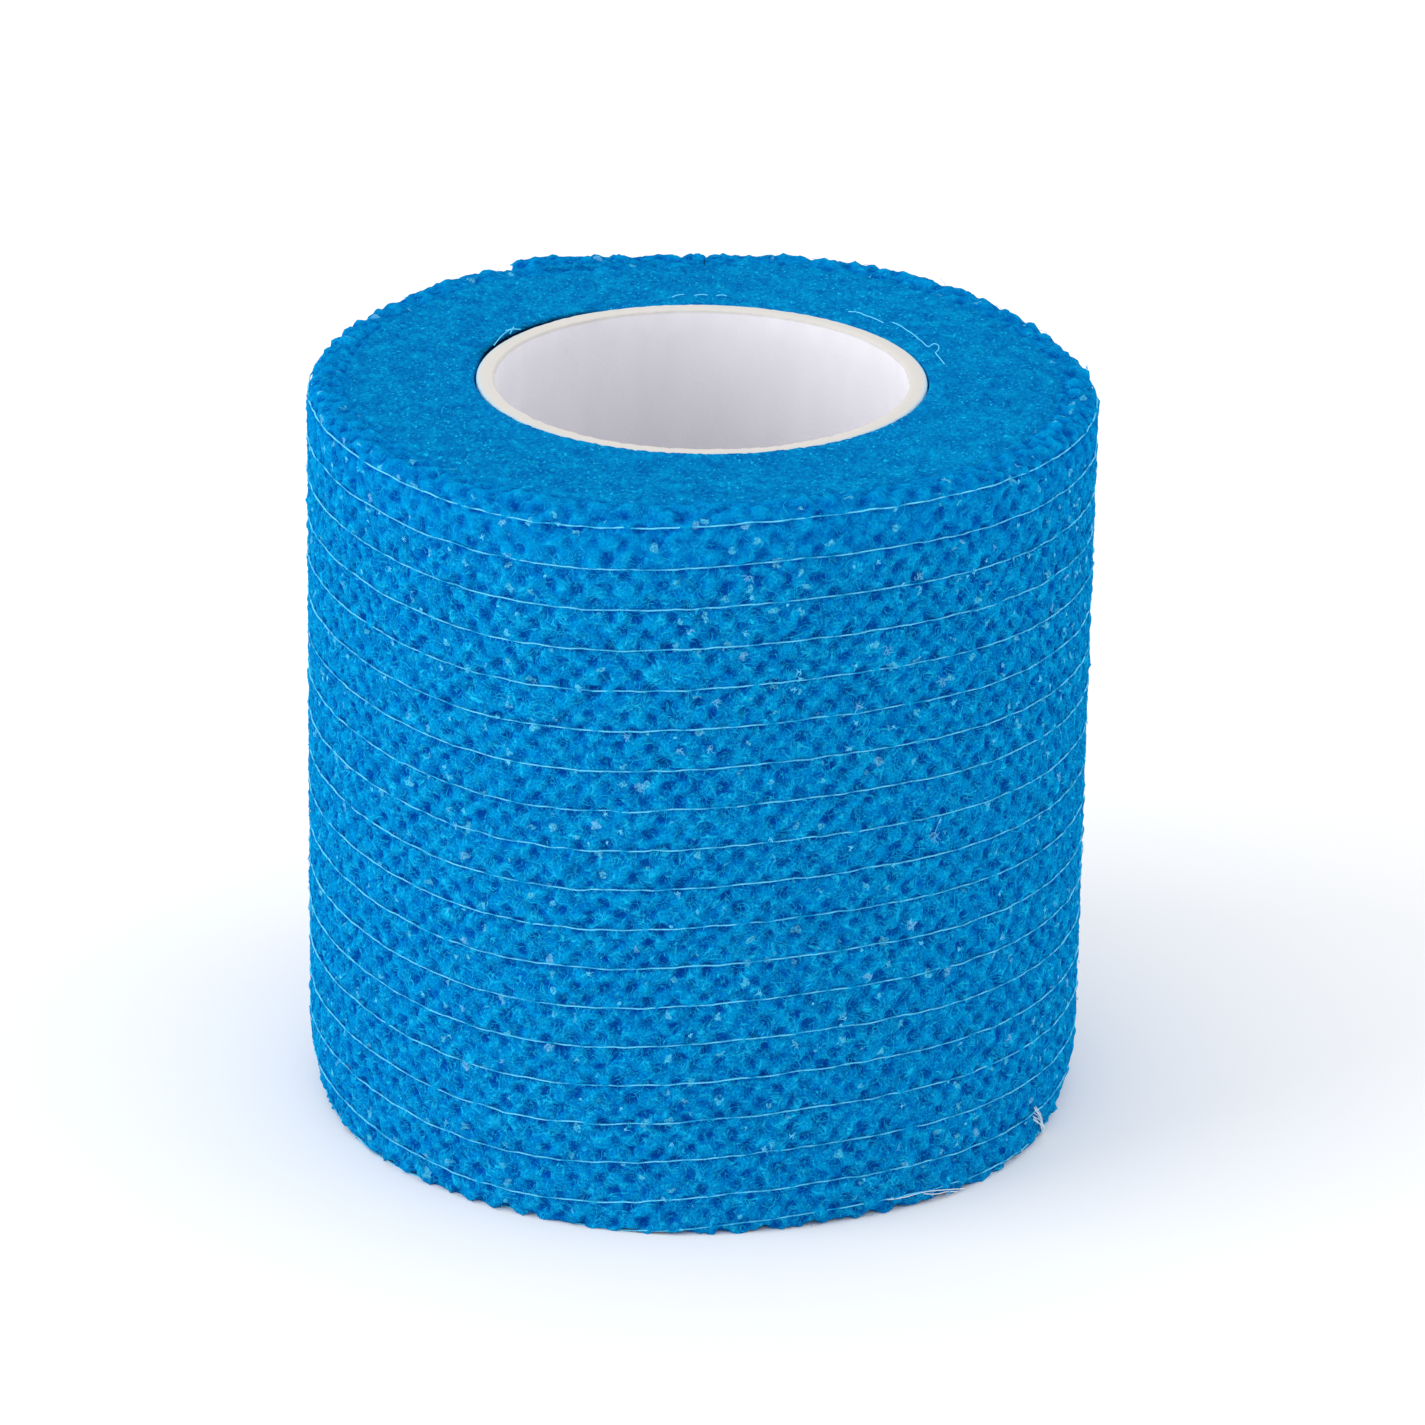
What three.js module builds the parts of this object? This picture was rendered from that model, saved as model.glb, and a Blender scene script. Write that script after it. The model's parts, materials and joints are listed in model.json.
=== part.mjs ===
// A roll of cohesive elastic tape, 5 cm wide, wound on a short board tube and standing on its end.
// Millimetres. The roll's axis is +Z and its foot stands on z = 0, centred on the tube's axis.
// Turns are measured about +Z from the front (-Y), positive towards the right (+X).
import * as THREE from 'three';
import { mergeVertices } from 'three/addons/utils/BufferGeometryUtils.js';

const DEGREE = Math.PI / 180;
const ROLL_AXIS = new THREE.Vector3(0, 0, 1);

// Driving dimensions of the roll
const TAPE_WIDTH = 50; // the tape's width, which is the roll's height
const CORE_OUTER = 14.9; // outer radius of the board tube
const CORE_WALL = 1.2; // thickness of its wall
const PIECE_GAP = 0.3; // clear space between neighbouring pieces
const ROLL_INNER = CORE_OUTER + PIECE_GAP; // radius of the first turn
const ROLL_OUTER = 26.1; // outer radius of the roll, but for the step
const TAPE_THICKNESS = 1; // the lifted end of the tape, with its crinkles
const STEP = PIECE_GAP + TAPE_THICKNESS; // height of the step where the loose end begins
const STEP_TURN = -180; // degrees: place of the step in the outline
const STEP_SPREAD = 0.6; // degrees that the step's face leans over

// Rounded rims and the sway of the wound edges
const TOP_ROUNDING = { across: 1.6, down: 1.3 };
const FOOT_ROUNDING = { across: 0.9, up: 1.1 };
const ROUNDING_STEPS = 4;
const WALL_STEPS = 9; // bands of the side wall
const TOP_BANDS = 3; // bands of the top face
const TURN_STEPS = 108; // columns around the roll
const FOOT_LIFT = 0.35; // how far the swaying edge leaves the floor at most
const EDGE_WAVES = [
  { height: 0.24, lobes: 2, phase: 20 },
  { height: 0.28, lobes: 3, phase: -11 },
  { height: 0.15, lobes: 5, phase: 30 },
];
const EDGE_REACH = EDGE_WAVES.reduce((sum, wave) => sum + wave.height, 0);
const WALL_WAVES = [
  { depth: 0.12, lobes: 2, bends: 1.5, phase: 40 },
  { depth: 0.09, lobes: 5, bends: 2.5, phase: 110 },
  { depth: 0.06, lobes: 9, bends: 4, phase: 205 },
];

// The lifted loose end of the tape, at the back left
const LOOSE_TURN = 27.5; // degrees of the roll that it covers
const LOOSE_LIFT = 1.4; // clear height under its tip
const LOOSE_FOOT = 0.4; // height of its lower edge over the floor
const LOOSE_TOP = TAPE_WIDTH - 0.2;
const LOOSE_STEPS = 14; // steps along it
const LOOSE_BANDS = 8; // steps up it
const LOOSE_EDGE_WAVE = 0.25; // unevenness of its lengthwise edges
const LOOSE_EDGE_BENDS = 9; // radians of the wave along those edges
const LOOSE_TIP_WAVE = 0.7; // degrees: unevenness of its cut edge
const LOOSE_TIP_BENDS = 11; // radians of the wave along the cut

// The board tube
const CORE_STEPS = 72;
const CORE_EDGE = 0.15; // softened corner of its cut ends

// Colours from sRGB, as the dry surfaces show
const TAPE_COLOUR = new THREE.Color().setRGB(0.05, 0.49, 0.77, THREE.SRGBColorSpace);
const BOARD_COLOUR = new THREE.Color().setRGB(0.86, 0.85, 0.87, THREE.SRGBColorSpace);
const TAPE_ROUGHNESS = 0.95;
const BOARD_ROUGHNESS = 0.85;

// Outer radius of the wound turns at a turn in degrees: even around the front, half a step in
// beneath the loose end, and half a step out where that end leaves the turns
function rollRadius(turn) {
  return ROLL_OUTER + STEP / 2 * (turn / 180) ** 3;
}

// Rise and fall of the wound tape's edge around the roll
function edgeSway(turn) {
  let sway = 0;
  for (const { height, lobes, phase } of EDGE_WAVES) {
    sway += height * Math.sin((lobes * turn + phase) * DEGREE);
  }
  return sway;
}

// Shallow hollows and swells of the side wall, fading out where the loose end meets the turns
function wallSwell(turn, z) {
  const along = Math.sin(Math.min(1, Math.max(0, (turn - STEP_TURN - LOOSE_TURN) / 60)) * Math.PI / 2);
  const before = Math.min(1, (STEP_TURN + 360 - turn) / 30);
  let swell = 0;
  for (const { depth, lobes, bends, phase } of WALL_WAVES) {
    swell += depth * Math.sin((lobes * turn + phase) * DEGREE) * Math.cos(bends * Math.PI * z / TAPE_WIDTH);
  }
  return swell * along * before;
}

// A quarter of an ellipse, from the first point to the second, bulging towards the corner point
function roundedCorner(from, to, corner, steps) {
  const fromReach = from.clone().sub(corner);
  const toReach = to.clone().sub(corner);
  const points = [];
  for (let i = 0; i <= steps; i += 1) {
    const angle = (i / steps) * Math.PI / 2;
    const point = corner.clone();
    point.addScaledVector(fromReach, 1 - Math.sin(angle));
    point.addScaledVector(toReach, 1 - Math.cos(angle));
    points.push(point);
  }
  return points;
}

// Section of the wound turns, radius against height, for an even outline of the given radius
function rollSection(outer) {
  const foot = roundedCorner(
    new THREE.Vector2(outer - FOOT_ROUNDING.across, 0),
    new THREE.Vector2(outer, FOOT_ROUNDING.up),
    new THREE.Vector2(outer, 0),
    ROUNDING_STEPS,
  );
  const rim = roundedCorner(
    new THREE.Vector2(outer, TAPE_WIDTH - TOP_ROUNDING.down),
    new THREE.Vector2(outer - TOP_ROUNDING.across, TAPE_WIDTH),
    new THREE.Vector2(outer, TAPE_WIDTH),
    ROUNDING_STEPS,
  );
  const wall = [];
  const wallHeight = TAPE_WIDTH - TOP_ROUNDING.down - FOOT_ROUNDING.up;
  for (let i = 1; i < WALL_STEPS; i += 1) {
    wall.push(new THREE.Vector2(outer, FOOT_ROUNDING.up + wallHeight * i / WALL_STEPS));
  }
  const top = [];
  for (let i = 1; i <= TOP_BANDS; i += 1) {
    const radius = THREE.MathUtils.lerp(outer - TOP_ROUNDING.across, ROLL_INNER, i / TOP_BANDS);
    top.push(new THREE.Vector2(radius, TAPE_WIDTH));
  }
  const innerFoot = new THREE.Vector2(ROLL_INNER, 0);
  return [innerFoot, ...foot, ...wall, ...rim, ...top, innerFoot.clone()];
}

// Makes a turned shape stand on z = 0 about +Z, as one closed surface
function standTurned(geometry) {
  geometry.rotateX(Math.PI / 2);
  geometry.deleteAttribute('uv');
  geometry.deleteAttribute('normal');
  return mergeVertices(geometry, 1e-4);
}

// The wound turns as one solid, with the outline of the spiral, its step and its swaying edges
function woundTurns() {
  const geometry = new THREE.LatheGeometry(rollSection(ROLL_OUTER), TURN_STEPS);
  const places = geometry.attributes.position;
  const rings = places.count / (TURN_STEPS + 1);
  const point = new THREE.Vector3();
  for (let i = 0; i < places.count; i += 1) {
    point.fromBufferAttribute(places, i);
    const column = Math.floor(i / rings) % TURN_STEPS;
    const turn = STEP_TURN + (360 - STEP_SPREAD) * column / (TURN_STEPS - 1);
    const share = (Math.hypot(point.x, point.z) - ROLL_INNER) / (ROLL_OUTER - ROLL_INNER);
    const radius = ROLL_INNER + share * (rollRadius(turn) + wallSwell(turn, point.y) - ROLL_INNER);
    const height = edgeHeight(point.y, share, turn);
    places.setXYZ(i, radius * Math.sin(turn * DEGREE), height, radius * Math.cos(turn * DEGREE));
  }
  return standTurned(geometry);
}

// Height of a point of the roll: the rim sways, and the foot stays flat but for its rounding
function edgeHeight(z, share, turn) {
  const towardsRim = share ** 3;
  const nearTop = z / TAPE_WIDTH;
  const rise = nearTop ** 4 * towardsRim * edgeSway(turn);
  const offFloor = Math.min(1, z / FOOT_ROUNDING.up) * Math.max(0, 1 - 2 * nearTop);
  const lift = offFloor * FOOT_LIFT * (edgeSway(turn) + EDGE_REACH) / (2 * EDGE_REACH);
  return z + rise + lift;
}

// The loose end: a strip seen from above, standing on edge, whose free tip lifts off the turns
function looseEnd() {
  const rootTurn = STEP_TURN + PIECE_GAP / (ROLL_OUTER * DEGREE);
  const tipTurn = STEP_TURN + LOOSE_TURN;
  const inner = [];
  const outer = [];
  for (let i = 0; i <= LOOSE_STEPS; i += 1) {
    const share = i / LOOSE_STEPS;
    const turn = THREE.MathUtils.lerp(rootTurn, tipTurn, share) * DEGREE;
    const under = rollRadius(turn / DEGREE) + PIECE_GAP + LOOSE_LIFT * share ** 2;
    inner.push(new THREE.Vector2(under * Math.sin(turn), -under * Math.cos(turn)));
    const over = under + TAPE_THICKNESS;
    outer.push(new THREE.Vector2(over * Math.sin(turn), -over * Math.cos(turn)));
  }
  const strip = new THREE.Shape([...outer, ...inner.reverse()]);
  const height = LOOSE_TOP - LOOSE_FOOT;
  const upright = { depth: height, steps: LOOSE_BANDS, bevelEnabled: false };
  const geometry = new THREE.ExtrudeGeometry(strip, upright);
  geometry.translate(0, 0, LOOSE_FOOT);
  geometry.deleteAttribute('uv');
  geometry.deleteAttribute('normal');
  const closed = mergeVertices(geometry, 1e-4);
  roughenLooseEdges(closed, rootTurn, tipTurn);
  return closed;
}

// Gives the loose end its slightly wandering lengthwise edges and cut edge
function roughenLooseEdges(geometry, rootTurn, tipTurn) {
  const places = geometry.attributes.position;
  const point = new THREE.Vector3();
  for (let i = 0; i < places.count; i += 1) {
    point.fromBufferAttribute(places, i);
    const turn = Math.atan2(point.x, -point.y) / DEGREE;
    const along = (turn - rootTurn) / (tipTurn - rootTurn);
    const up = (point.z - LOOSE_FOOT) / (LOOSE_TOP - LOOSE_FOOT);
    const edge = LOOSE_EDGE_WAVE * (2 * up - 1) ** 5 * (Math.sin(along * LOOSE_EDGE_BENDS) - 1) / 2;
    const cut = LOOSE_TIP_WAVE * Math.sin(up * LOOSE_TIP_BENDS) * along ** 6 * DEGREE;
    point.applyAxisAngle(ROLL_AXIS, cut);
    places.setXYZ(i, point.x, point.y, point.z + edge);
  }
}

// The board tube: a plain ring section with softened corners
function boardTube() {
  const inner = CORE_OUTER - CORE_WALL;
  const section = [
    new THREE.Vector2(inner, CORE_EDGE),
    new THREE.Vector2(inner + CORE_EDGE, 0),
    new THREE.Vector2(CORE_OUTER - CORE_EDGE, 0),
    new THREE.Vector2(CORE_OUTER, CORE_EDGE),
    new THREE.Vector2(CORE_OUTER, TAPE_WIDTH - CORE_EDGE),
    new THREE.Vector2(CORE_OUTER - CORE_EDGE, TAPE_WIDTH),
    new THREE.Vector2(inner + CORE_EDGE, TAPE_WIDTH),
    new THREE.Vector2(inner, TAPE_WIDTH - CORE_EDGE),
    new THREE.Vector2(inner, CORE_EDGE),
  ];
  return standTurned(new THREE.LatheGeometry(section, CORE_STEPS));
}

function material(colour, roughness) {
  return new THREE.MeshStandardMaterial({ color: colour, roughness, metalness: 0 });
}

function piece(name, geometry, finish) {
  const mesh = new THREE.Mesh(geometry, finish);
  mesh.name = name;
  return mesh;
}

const roll = new THREE.Group();
roll.add(piece('wound_tape', woundTurns(), material(TAPE_COLOUR, TAPE_ROUGHNESS)));
roll.add(piece('loose_end', looseEnd(), material(TAPE_COLOUR, TAPE_ROUGHNESS)));
roll.add(piece('core', boardTube(), material(BOARD_COLOUR, BOARD_ROUGHNESS)));

export default roll;
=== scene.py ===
"""A roll of crinkled cohesive elastic tape on a short board tube, standing on its end.

The tape is wound about +Z. A place on it is given by its turn, in degrees about +Z from the front
(-Y) towards the right (+X), and by a length up its section, in metres. The tape's own pattern is
laid out flat, in millimetres along and across the tape.
"""
import json
import math
import random

import bpy
from mathutils import Matrix, Vector, noise

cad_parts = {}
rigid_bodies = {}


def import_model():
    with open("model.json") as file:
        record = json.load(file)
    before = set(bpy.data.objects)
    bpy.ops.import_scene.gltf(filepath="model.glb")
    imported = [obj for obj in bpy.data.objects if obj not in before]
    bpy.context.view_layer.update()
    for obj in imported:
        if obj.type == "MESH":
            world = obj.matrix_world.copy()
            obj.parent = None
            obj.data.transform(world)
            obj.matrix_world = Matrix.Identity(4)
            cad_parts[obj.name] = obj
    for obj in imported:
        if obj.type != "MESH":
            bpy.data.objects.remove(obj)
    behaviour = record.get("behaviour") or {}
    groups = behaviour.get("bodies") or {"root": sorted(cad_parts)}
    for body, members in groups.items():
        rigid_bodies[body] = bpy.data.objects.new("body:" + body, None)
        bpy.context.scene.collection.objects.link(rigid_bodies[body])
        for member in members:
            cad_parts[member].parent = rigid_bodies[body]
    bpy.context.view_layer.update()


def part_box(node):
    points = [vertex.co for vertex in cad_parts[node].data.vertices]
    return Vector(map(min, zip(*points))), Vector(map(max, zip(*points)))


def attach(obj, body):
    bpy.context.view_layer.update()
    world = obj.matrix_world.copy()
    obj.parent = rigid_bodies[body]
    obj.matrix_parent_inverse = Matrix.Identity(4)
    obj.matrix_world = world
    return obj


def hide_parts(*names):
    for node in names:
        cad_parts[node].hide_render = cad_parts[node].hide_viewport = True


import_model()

bl_info = {
    "name": "Sock Tape Roll",
    "version": (1, 0, 0),
    "blender": (4, 5, 0),
    "location": "View3D > Sidebar > Tape Roll",
    "description": "Builds a roll of crinkled elastic tape with its threads, fibres and board tube",
    "category": "Add Mesh",
}

MM = 0.001
DEGREE = math.pi / 180
FULL_TURN = 360.0
HALF_TURN = 180.0
QUARTER = math.pi / 2

# Sizes taken from the frame
CORE_LOW, CORE_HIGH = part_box("core")
TAPE_WIDTH = CORE_HIGH[2]
CORE_OUTER = (CORE_HIGH[0] - CORE_LOW[0]) / 2

# The outline of the turns, as their solid has it
WOUND_RADIUS = 26.1  # in millimetres; the pattern is laid round the roll at it
STEP_HEIGHT = 1.3 * MM
LOOSE_TURN = 27.5
LOOSE_LIFT = 1.4 * MM
EDGE_WAVES = (
    # height, lobes, phase in degrees
    (0.24 * MM, 2, 20),
    (0.28 * MM, 3, -11),
    (0.15 * MM, 5, 30),
)
EDGE_SWELLS = (
    # height, middle and reach in degrees
    (0.50 * MM, -139, 11),
    (-0.25 * MM, -173, 16),
    (0.28 * MM, 137, 18),
)
FOOT_SWAY_GAIN = 1.4  # the pattern sways this many times as much at the foot as at the rim
FOOT_TUCK = 1.05 * MM
FOOT_TUCK_HEIGHT = 4.5 * MM
FOOT_BULGES = (
    # depth, middle and reach in degrees
    (0.32 * MM, 47, 14),
    (0.45 * MM, -8, 20),
)

# The pattern of the cloth, in millimetres along and across the tape
PIT_PITCH_ALONG = 1.93
PIT_PITCH_ACROSS = 1.96
THREAD_PITCH = 2.75
THREAD_COUNT = 19
FIRST_THREAD = 49.15
LOWEST_THREAD = 0.3
THREAD_STRAY = 0.38  # twice the most that a thread strays from its line
TRACK_SPACING = 9.0  # between the tracks of noise that two threads follow
SMOOTH_RIM = (42.0, 49.5)  # where the cloth is pulled smooth towards the rim
UPPER_EDGE = (47.3, 49.6)  # where the tape's two edges turn lumpy
LOWER_EDGE = (0.4, 2.6)
PAST_RIM = (51.3, 52.8)  # where the cloth passes into the felted ends
PAST_FOOT = (-1.2, -0.3)

# How much the cloth and the felt rise and fall
CRUMPLE_HEIGHT = 0.78 * MM
LUMP_HEIGHT = 0.55 * MM
FURROW_DEPTH = 0.07 * MM
FELT_CLOUDS = 0.26 * MM
FELT_GRAIN = 0.55 * MM


def channel_to_linear(channel):
    """A screen colour's channel from 0 to 1, as light."""
    if channel <= 0.04045:
        return channel / 12.92
    return ((channel + 0.055) / 1.055) ** 2.4


def colour_property(name, description, default):
    """A colour that a user may change, from the value that a screen shows."""
    linear = tuple(channel_to_linear(channel) for channel in default)
    return bpy.props.FloatVectorProperty(
        name=name, description=description, subtype="COLOR", size=3, min=0.0, max=1.0, default=linear
    )


def number_property(name, description, default, **kind):
    """A number that a user may change, of a kind such as an angle or a power."""
    return bpy.props.FloatProperty(name=name, description=description, default=default, **kind)


def length_property(name, description, default):
    """A length that a user may change."""
    return number_property(name, description, default, unit="LENGTH")


class RollSizes(bpy.types.PropertyGroup):
    """Sizes of the roll and of what its cloth is made of."""

    outer_radius: length_property("Outer radius", "Radius of the wound turns", WOUND_RADIUS * MM)
    rim_rounding: length_property("Rim rounding", "Radius of the upper rim", 1.3 * MM)
    foot_rounding: length_property("Foot rounding", "Radius of the lower rim", 0.5 * MM)
    tape_thickness: length_property("Tape thickness", "Thickness of the lifted loose end", 0.8 * MM)
    core_wall: length_property("Core wall", "Thickness of the board tube's wall", 1.2 * MM)
    pit_depth: length_property("Pit depth", "Depth of the pits in the crinkled cloth", 0.34 * MM)
    thread_radius: length_property("Thread radius", "Radius of the elastic threads", 0.066 * MM)
    fibre_radius: length_property("Fibre radius", "Radius of the cloth's loose fibres", 0.012 * MM)


class TapeLooks(bpy.types.PropertyGroup):
    """Colours of the roll."""

    # The pit colour is partly the cloth's own denser dye and partly painted shade of the hollows.
    pit: colour_property("Pit", "Cloth deep in a pit", (0.0, 0.27, 0.62))
    cloth: colour_property("Cloth", "Cloth between the pits", (0.0, 0.44, 0.73))
    ridge: colour_property("Ridge", "Cloth on the ridges", (0.0, 0.59, 0.83))
    fibre: colour_property("Fibre", "Single fibres over the cloth", (0.12, 0.80, 0.96))
    thread: colour_property("Thread", "Elastic threads", (0.40, 0.85, 1.0))
    knot: colour_property("Knot", "Small knots of paler fibre", (0.34, 0.79, 0.94))
    fleck: colour_property("Fleck", "Flecks of undyed fibre", (0.42, 0.74, 0.93))
    lining: colour_property("Lining", "Smooth paper inside the tube", (0.915, 0.91, 0.935))
    board: colour_property("Board", "Cut edge of the tube", (0.83, 0.82, 0.805))


class StageLooks(bpy.types.PropertyGroup):
    """The floor, the light and the camera."""

    floor: colour_property("Floor", "Colour of the floor", (0.985, 0.985, 0.985))
    key_power: number_property("Key power", "Power of the soft main light", 2.2, unit="POWER")
    world_strength: number_property("Surrounding light", "Strength of the even light all around", 1.0)
    elevation: number_property("Elevation", "Angle above the floor", 22.283 * DEGREE, subtype="ANGLE")
    distance: length_property("Distance", "From the camera to the middle of the roll", 0.4932)
    focal: number_property("Focal length", "Camera's focal length", 185.0, unit="CAMERA")


def math_method(operation, reflected=False):
    """A method of Value that adds a Math node; reflected, the other term comes first."""
    if reflected:
        return lambda value, other: value.math_node(operation, other, value)
    return lambda value, *others: value.math_node(operation, value, *others)


class Value:
    """A node's output that Python expressions can work with: each operator adds a Math node."""

    def __init__(self, graph, socket):
        self.graph = graph
        self.socket = socket

    def math_node(self, operation, *terms):
        """Adds one Math node on these terms."""
        return self.graph.node("ShaderNodeMath", {"operation": operation}, dict(enumerate(terms)))

    __add__ = math_method("ADD")
    __radd__ = math_method("ADD", reflected=True)
    __sub__ = math_method("SUBTRACT")
    __rsub__ = math_method("SUBTRACT", reflected=True)
    __mul__ = math_method("MULTIPLY")
    __rmul__ = math_method("MULTIPLY", reflected=True)
    __truediv__ = math_method("DIVIDE")
    __rtruediv__ = math_method("DIVIDE", reflected=True)
    __pow__ = math_method("POWER")
    __abs__ = math_method("ABSOLUTE")
    sine = math_method("SINE")
    cosine = math_method("COSINE")
    exponent = math_method("EXPONENT")
    fraction = math_method("FRACT")
    at_least = math_method("MAXIMUM")
    at_most = math_method("MINIMUM")
    above = math_method("GREATER_THAN")

    def between(self, low, high):
        """This, held between two values."""
        return self.at_least(low).at_most(high)

    def rising(self, low, high):
        """0 below low, 1 above high, and a smooth step between them."""
        ends = {"Value": self, "From Min": low, "From Max": high}
        return self.graph.node("ShaderNodeMapRange", {"interpolation_type": "SMOOTHSTEP"}, ends)


class Graph:
    """Adds nodes to one node tree."""

    def __init__(self, tree):
        self.tree = tree

    def node(self, kind, settings=None, inputs=None, output=0):
        """Adds a node with its settings, then its sockets' values or links, and gives one output."""
        made = self.tree.nodes.new(kind)
        for name, value in (settings or {}).items():
            setattr(made, name, value)
        for key, value in (inputs or {}).items():
            socket = self._socket(made.inputs, key)
            for one in value if isinstance(value, list) else [value]:
                if isinstance(one, Value):
                    self.tree.links.new(one.socket, socket)
                else:
                    socket.default_value = one
        return Value(self, self._socket(made.outputs, output))

    @staticmethod
    def _socket(sockets, key):
        """A socket by its number, or the shown one of a name."""
        if isinstance(key, int):
            return sockets[key]
        return next(socket for socket in sockets if socket.name == key and socket.enabled)

    def end(self, kind, value):
        """Links the finished value to the tree's output."""
        outlet = self.tree.nodes.new(kind)
        self.tree.links.new(value.socket, outlet.inputs[0])

    def input(self, name):
        """One of the tree's own named inputs."""
        return self.node("NodeGroupInput", output=name)

    def other(self, value, name):
        """Another output of the node that a value comes from."""
        return Value(self, self._socket(value.socket.node.outputs, name))

    def vector(self, x, y, z):
        """A vector from three values."""
        return self.node("ShaderNodeCombineXYZ", inputs={0: x, 1: y, 2: z})

    def parts(self, vector):
        """The three values of a vector."""
        split = self.node("ShaderNodeSeparateXYZ", inputs={0: vector})
        return tuple(Value(self, socket) for socket in split.socket.node.outputs)

    def moved(self, vector, offset):
        """A vector plus another."""
        return self.node("ShaderNodeVectorMath", {"operation": "ADD"}, {0: vector, 1: offset})

    def scaled(self, vector, factors):
        """A vector times another, axis by axis."""
        return self.node("ShaderNodeVectorMath", {"operation": "MULTIPLY"}, {0: vector, 1: factors})

    def speckle(self, vector, scale, detail=0.0):
        """Smooth noise, about 0.5 in the middle."""
        inputs = {"Vector": vector, "Scale": scale, "Detail": detail}
        return self.node("ShaderNodeTexNoise", inputs=inputs)

    def drift(self, vector, scale, reach):
        """A noise vector about zero, to push another one about."""
        colour = self.other(self.speckle(vector, scale, 1.0), "Color")
        return self.scaled(self.moved(colour, (-0.5, -0.5, -0.5)), (reach, reach, reach))

    def mixed(self, factor, first, second):
        """One colour turning into another."""
        inputs = {"Factor": factor, "A": opaque(first), "B": opaque(second)}
        return self.node("ShaderNodeMix", {"data_type": "RGBA"}, inputs, "Result")

    def position(self):
        """The three values of a point's own place."""
        return self.parts(self.node("GeometryNodeInputPosition"))

    def placed(self, geometry, place):
        """Geometry with each point at a new place."""
        return self.node("GeometryNodeSetPosition", inputs={"Geometry": geometry, "Position": place})


def opaque(colour):
    """A colour's socket as it is, or its three numbers with a fourth."""
    if isinstance(colour, Value):
        return colour
    return (*colour, 1.0)


# The pattern of the cloth, shared by its shape and its colour


def crinkle(graph, plane):
    """Depth of the cloth's pits, from 0 to 1, at a place on the flat tape."""
    strayed = graph.moved(plane, graph.drift(plane, 0.45, 1.2))
    along, across, _ = graph.parts(strayed)
    columns = (along * (2 * math.pi / PIT_PITCH_ALONG)).cosine()
    rows = (across * (2 * math.pi / PIT_PITCH_ACROSS)).cosine()
    strength = graph.speckle(plane, 0.5).rising(0.28, 0.62) * 0.6 + 0.4
    ragged = graph.speckle(plane, 1.5, 1.0) - 0.5
    return (columns * rows + ragged * 1.4).rising(-0.25, 0.9) * strength


def calm(graph, plane, loss):
    """1 over most of the cloth, falling by a loss towards the rim, where it is pulled smooth."""
    _, across, _ = graph.parts(plane)
    return 1.0 - across.rising(*SMOOTH_RIM) * loss


def crumple(graph, plane):
    """Uneven swell of the cloth, about zero."""
    return graph.speckle(plane, 0.95, 3.0) - 0.5


def thread_stray(graph, along, number):
    """How far a thread strays from its own line, in millimetres."""
    track = graph.vector(along, number * TRACK_SPACING, 0.0)
    return (graph.speckle(track, 0.5, 3.0) - 0.5) * THREAD_STRAY


def off_thread(graph, plane):
    """How far above the nearest elastic thread a place is, in millimetres."""
    along, across, _ = graph.parts(plane)
    count = (FIRST_THREAD - across) / THREAD_PITCH + 0.5
    share = count.fraction()
    return (0.5 - share) * THREAD_PITCH - thread_stray(graph, along, count - share)


def edge_lumps(graph, plane):
    """Soft lumps of the cloth's two edges, about zero."""
    _, across, _ = graph.parts(plane)
    edges = across.rising(*UPPER_EDGE) + (1.0 - across.rising(*LOWER_EDGE))
    return (graph.speckle(plane, 0.95, 1.0) - 0.5) * edges


def felt_height(graph, turn, radius):
    """Unevenness of the felted edges of the turns, in metres."""
    flat = graph.scaled(place_at(graph, turn, radius, 0.0), (1 / MM, 1 / MM, 1 / MM))
    clouds = graph.speckle(flat, 0.8, 2.0) - 0.5
    grain = graph.speckle(flat, 2.3, 1.0) - 0.5
    return clouds * FELT_CLOUDS + grain * FELT_GRAIN


# The outline of the roll, in Geometry Nodes


def edge_sway(turn):
    """Rise and fall of the wound tape's edge at a turn."""
    sway = 0.0
    for height, lobes, phase in EDGE_WAVES:
        sway = ((turn * lobes + phase) * DEGREE).sine() * height + sway
    for height, middle, reach in EDGE_SWELLS:
        sway = swell(turn, middle, reach) * height + sway
    return sway


def swell(turn, middle, reach):
    """A soft swell of height 1 about a turn."""
    off = ((turn - middle) * DEGREE).cosine() - 1.0
    return (off * (2 / (reach * DEGREE) ** 2)).exponent()


def turns_radius(graph, turn):
    """Outer radius of the turns, half a step out or in at the two sides of the step."""
    share = turn / HALF_TURN
    return share * share * share * (STEP_HEIGHT / 2) + graph.input("Outer radius")


def tape_radius(graph, turn):
    """Outer radius of the outermost turn, and past the step that of the lifting loose end."""
    past = turn.above(HALF_TURN)
    share = ((turn - HALF_TURN) / LOOSE_TURN).at_least(0.0)
    wound_turn = turn - past * FULL_TURN
    return turns_radius(graph, wound_turn) + past * (share * share * LOOSE_LIFT + STEP_HEIGHT)


def place_at(graph, turn, radius, height):
    """The point at a turn, a radius and a height."""
    angle = turn * DEGREE
    return graph.vector(angle.sine() * radius, angle.cosine() * radius * -1.0, height)


def rim_height(graph, turn, radius, outer):
    """Height of the roll's top at a radius: its swaying outer edge calms down towards the tube."""
    inner = graph.input("Inner radius")
    share = (radius - inner) / (outer - inner)
    return edge_sway(turn) * share * share * share + TAPE_WIDTH


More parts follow.
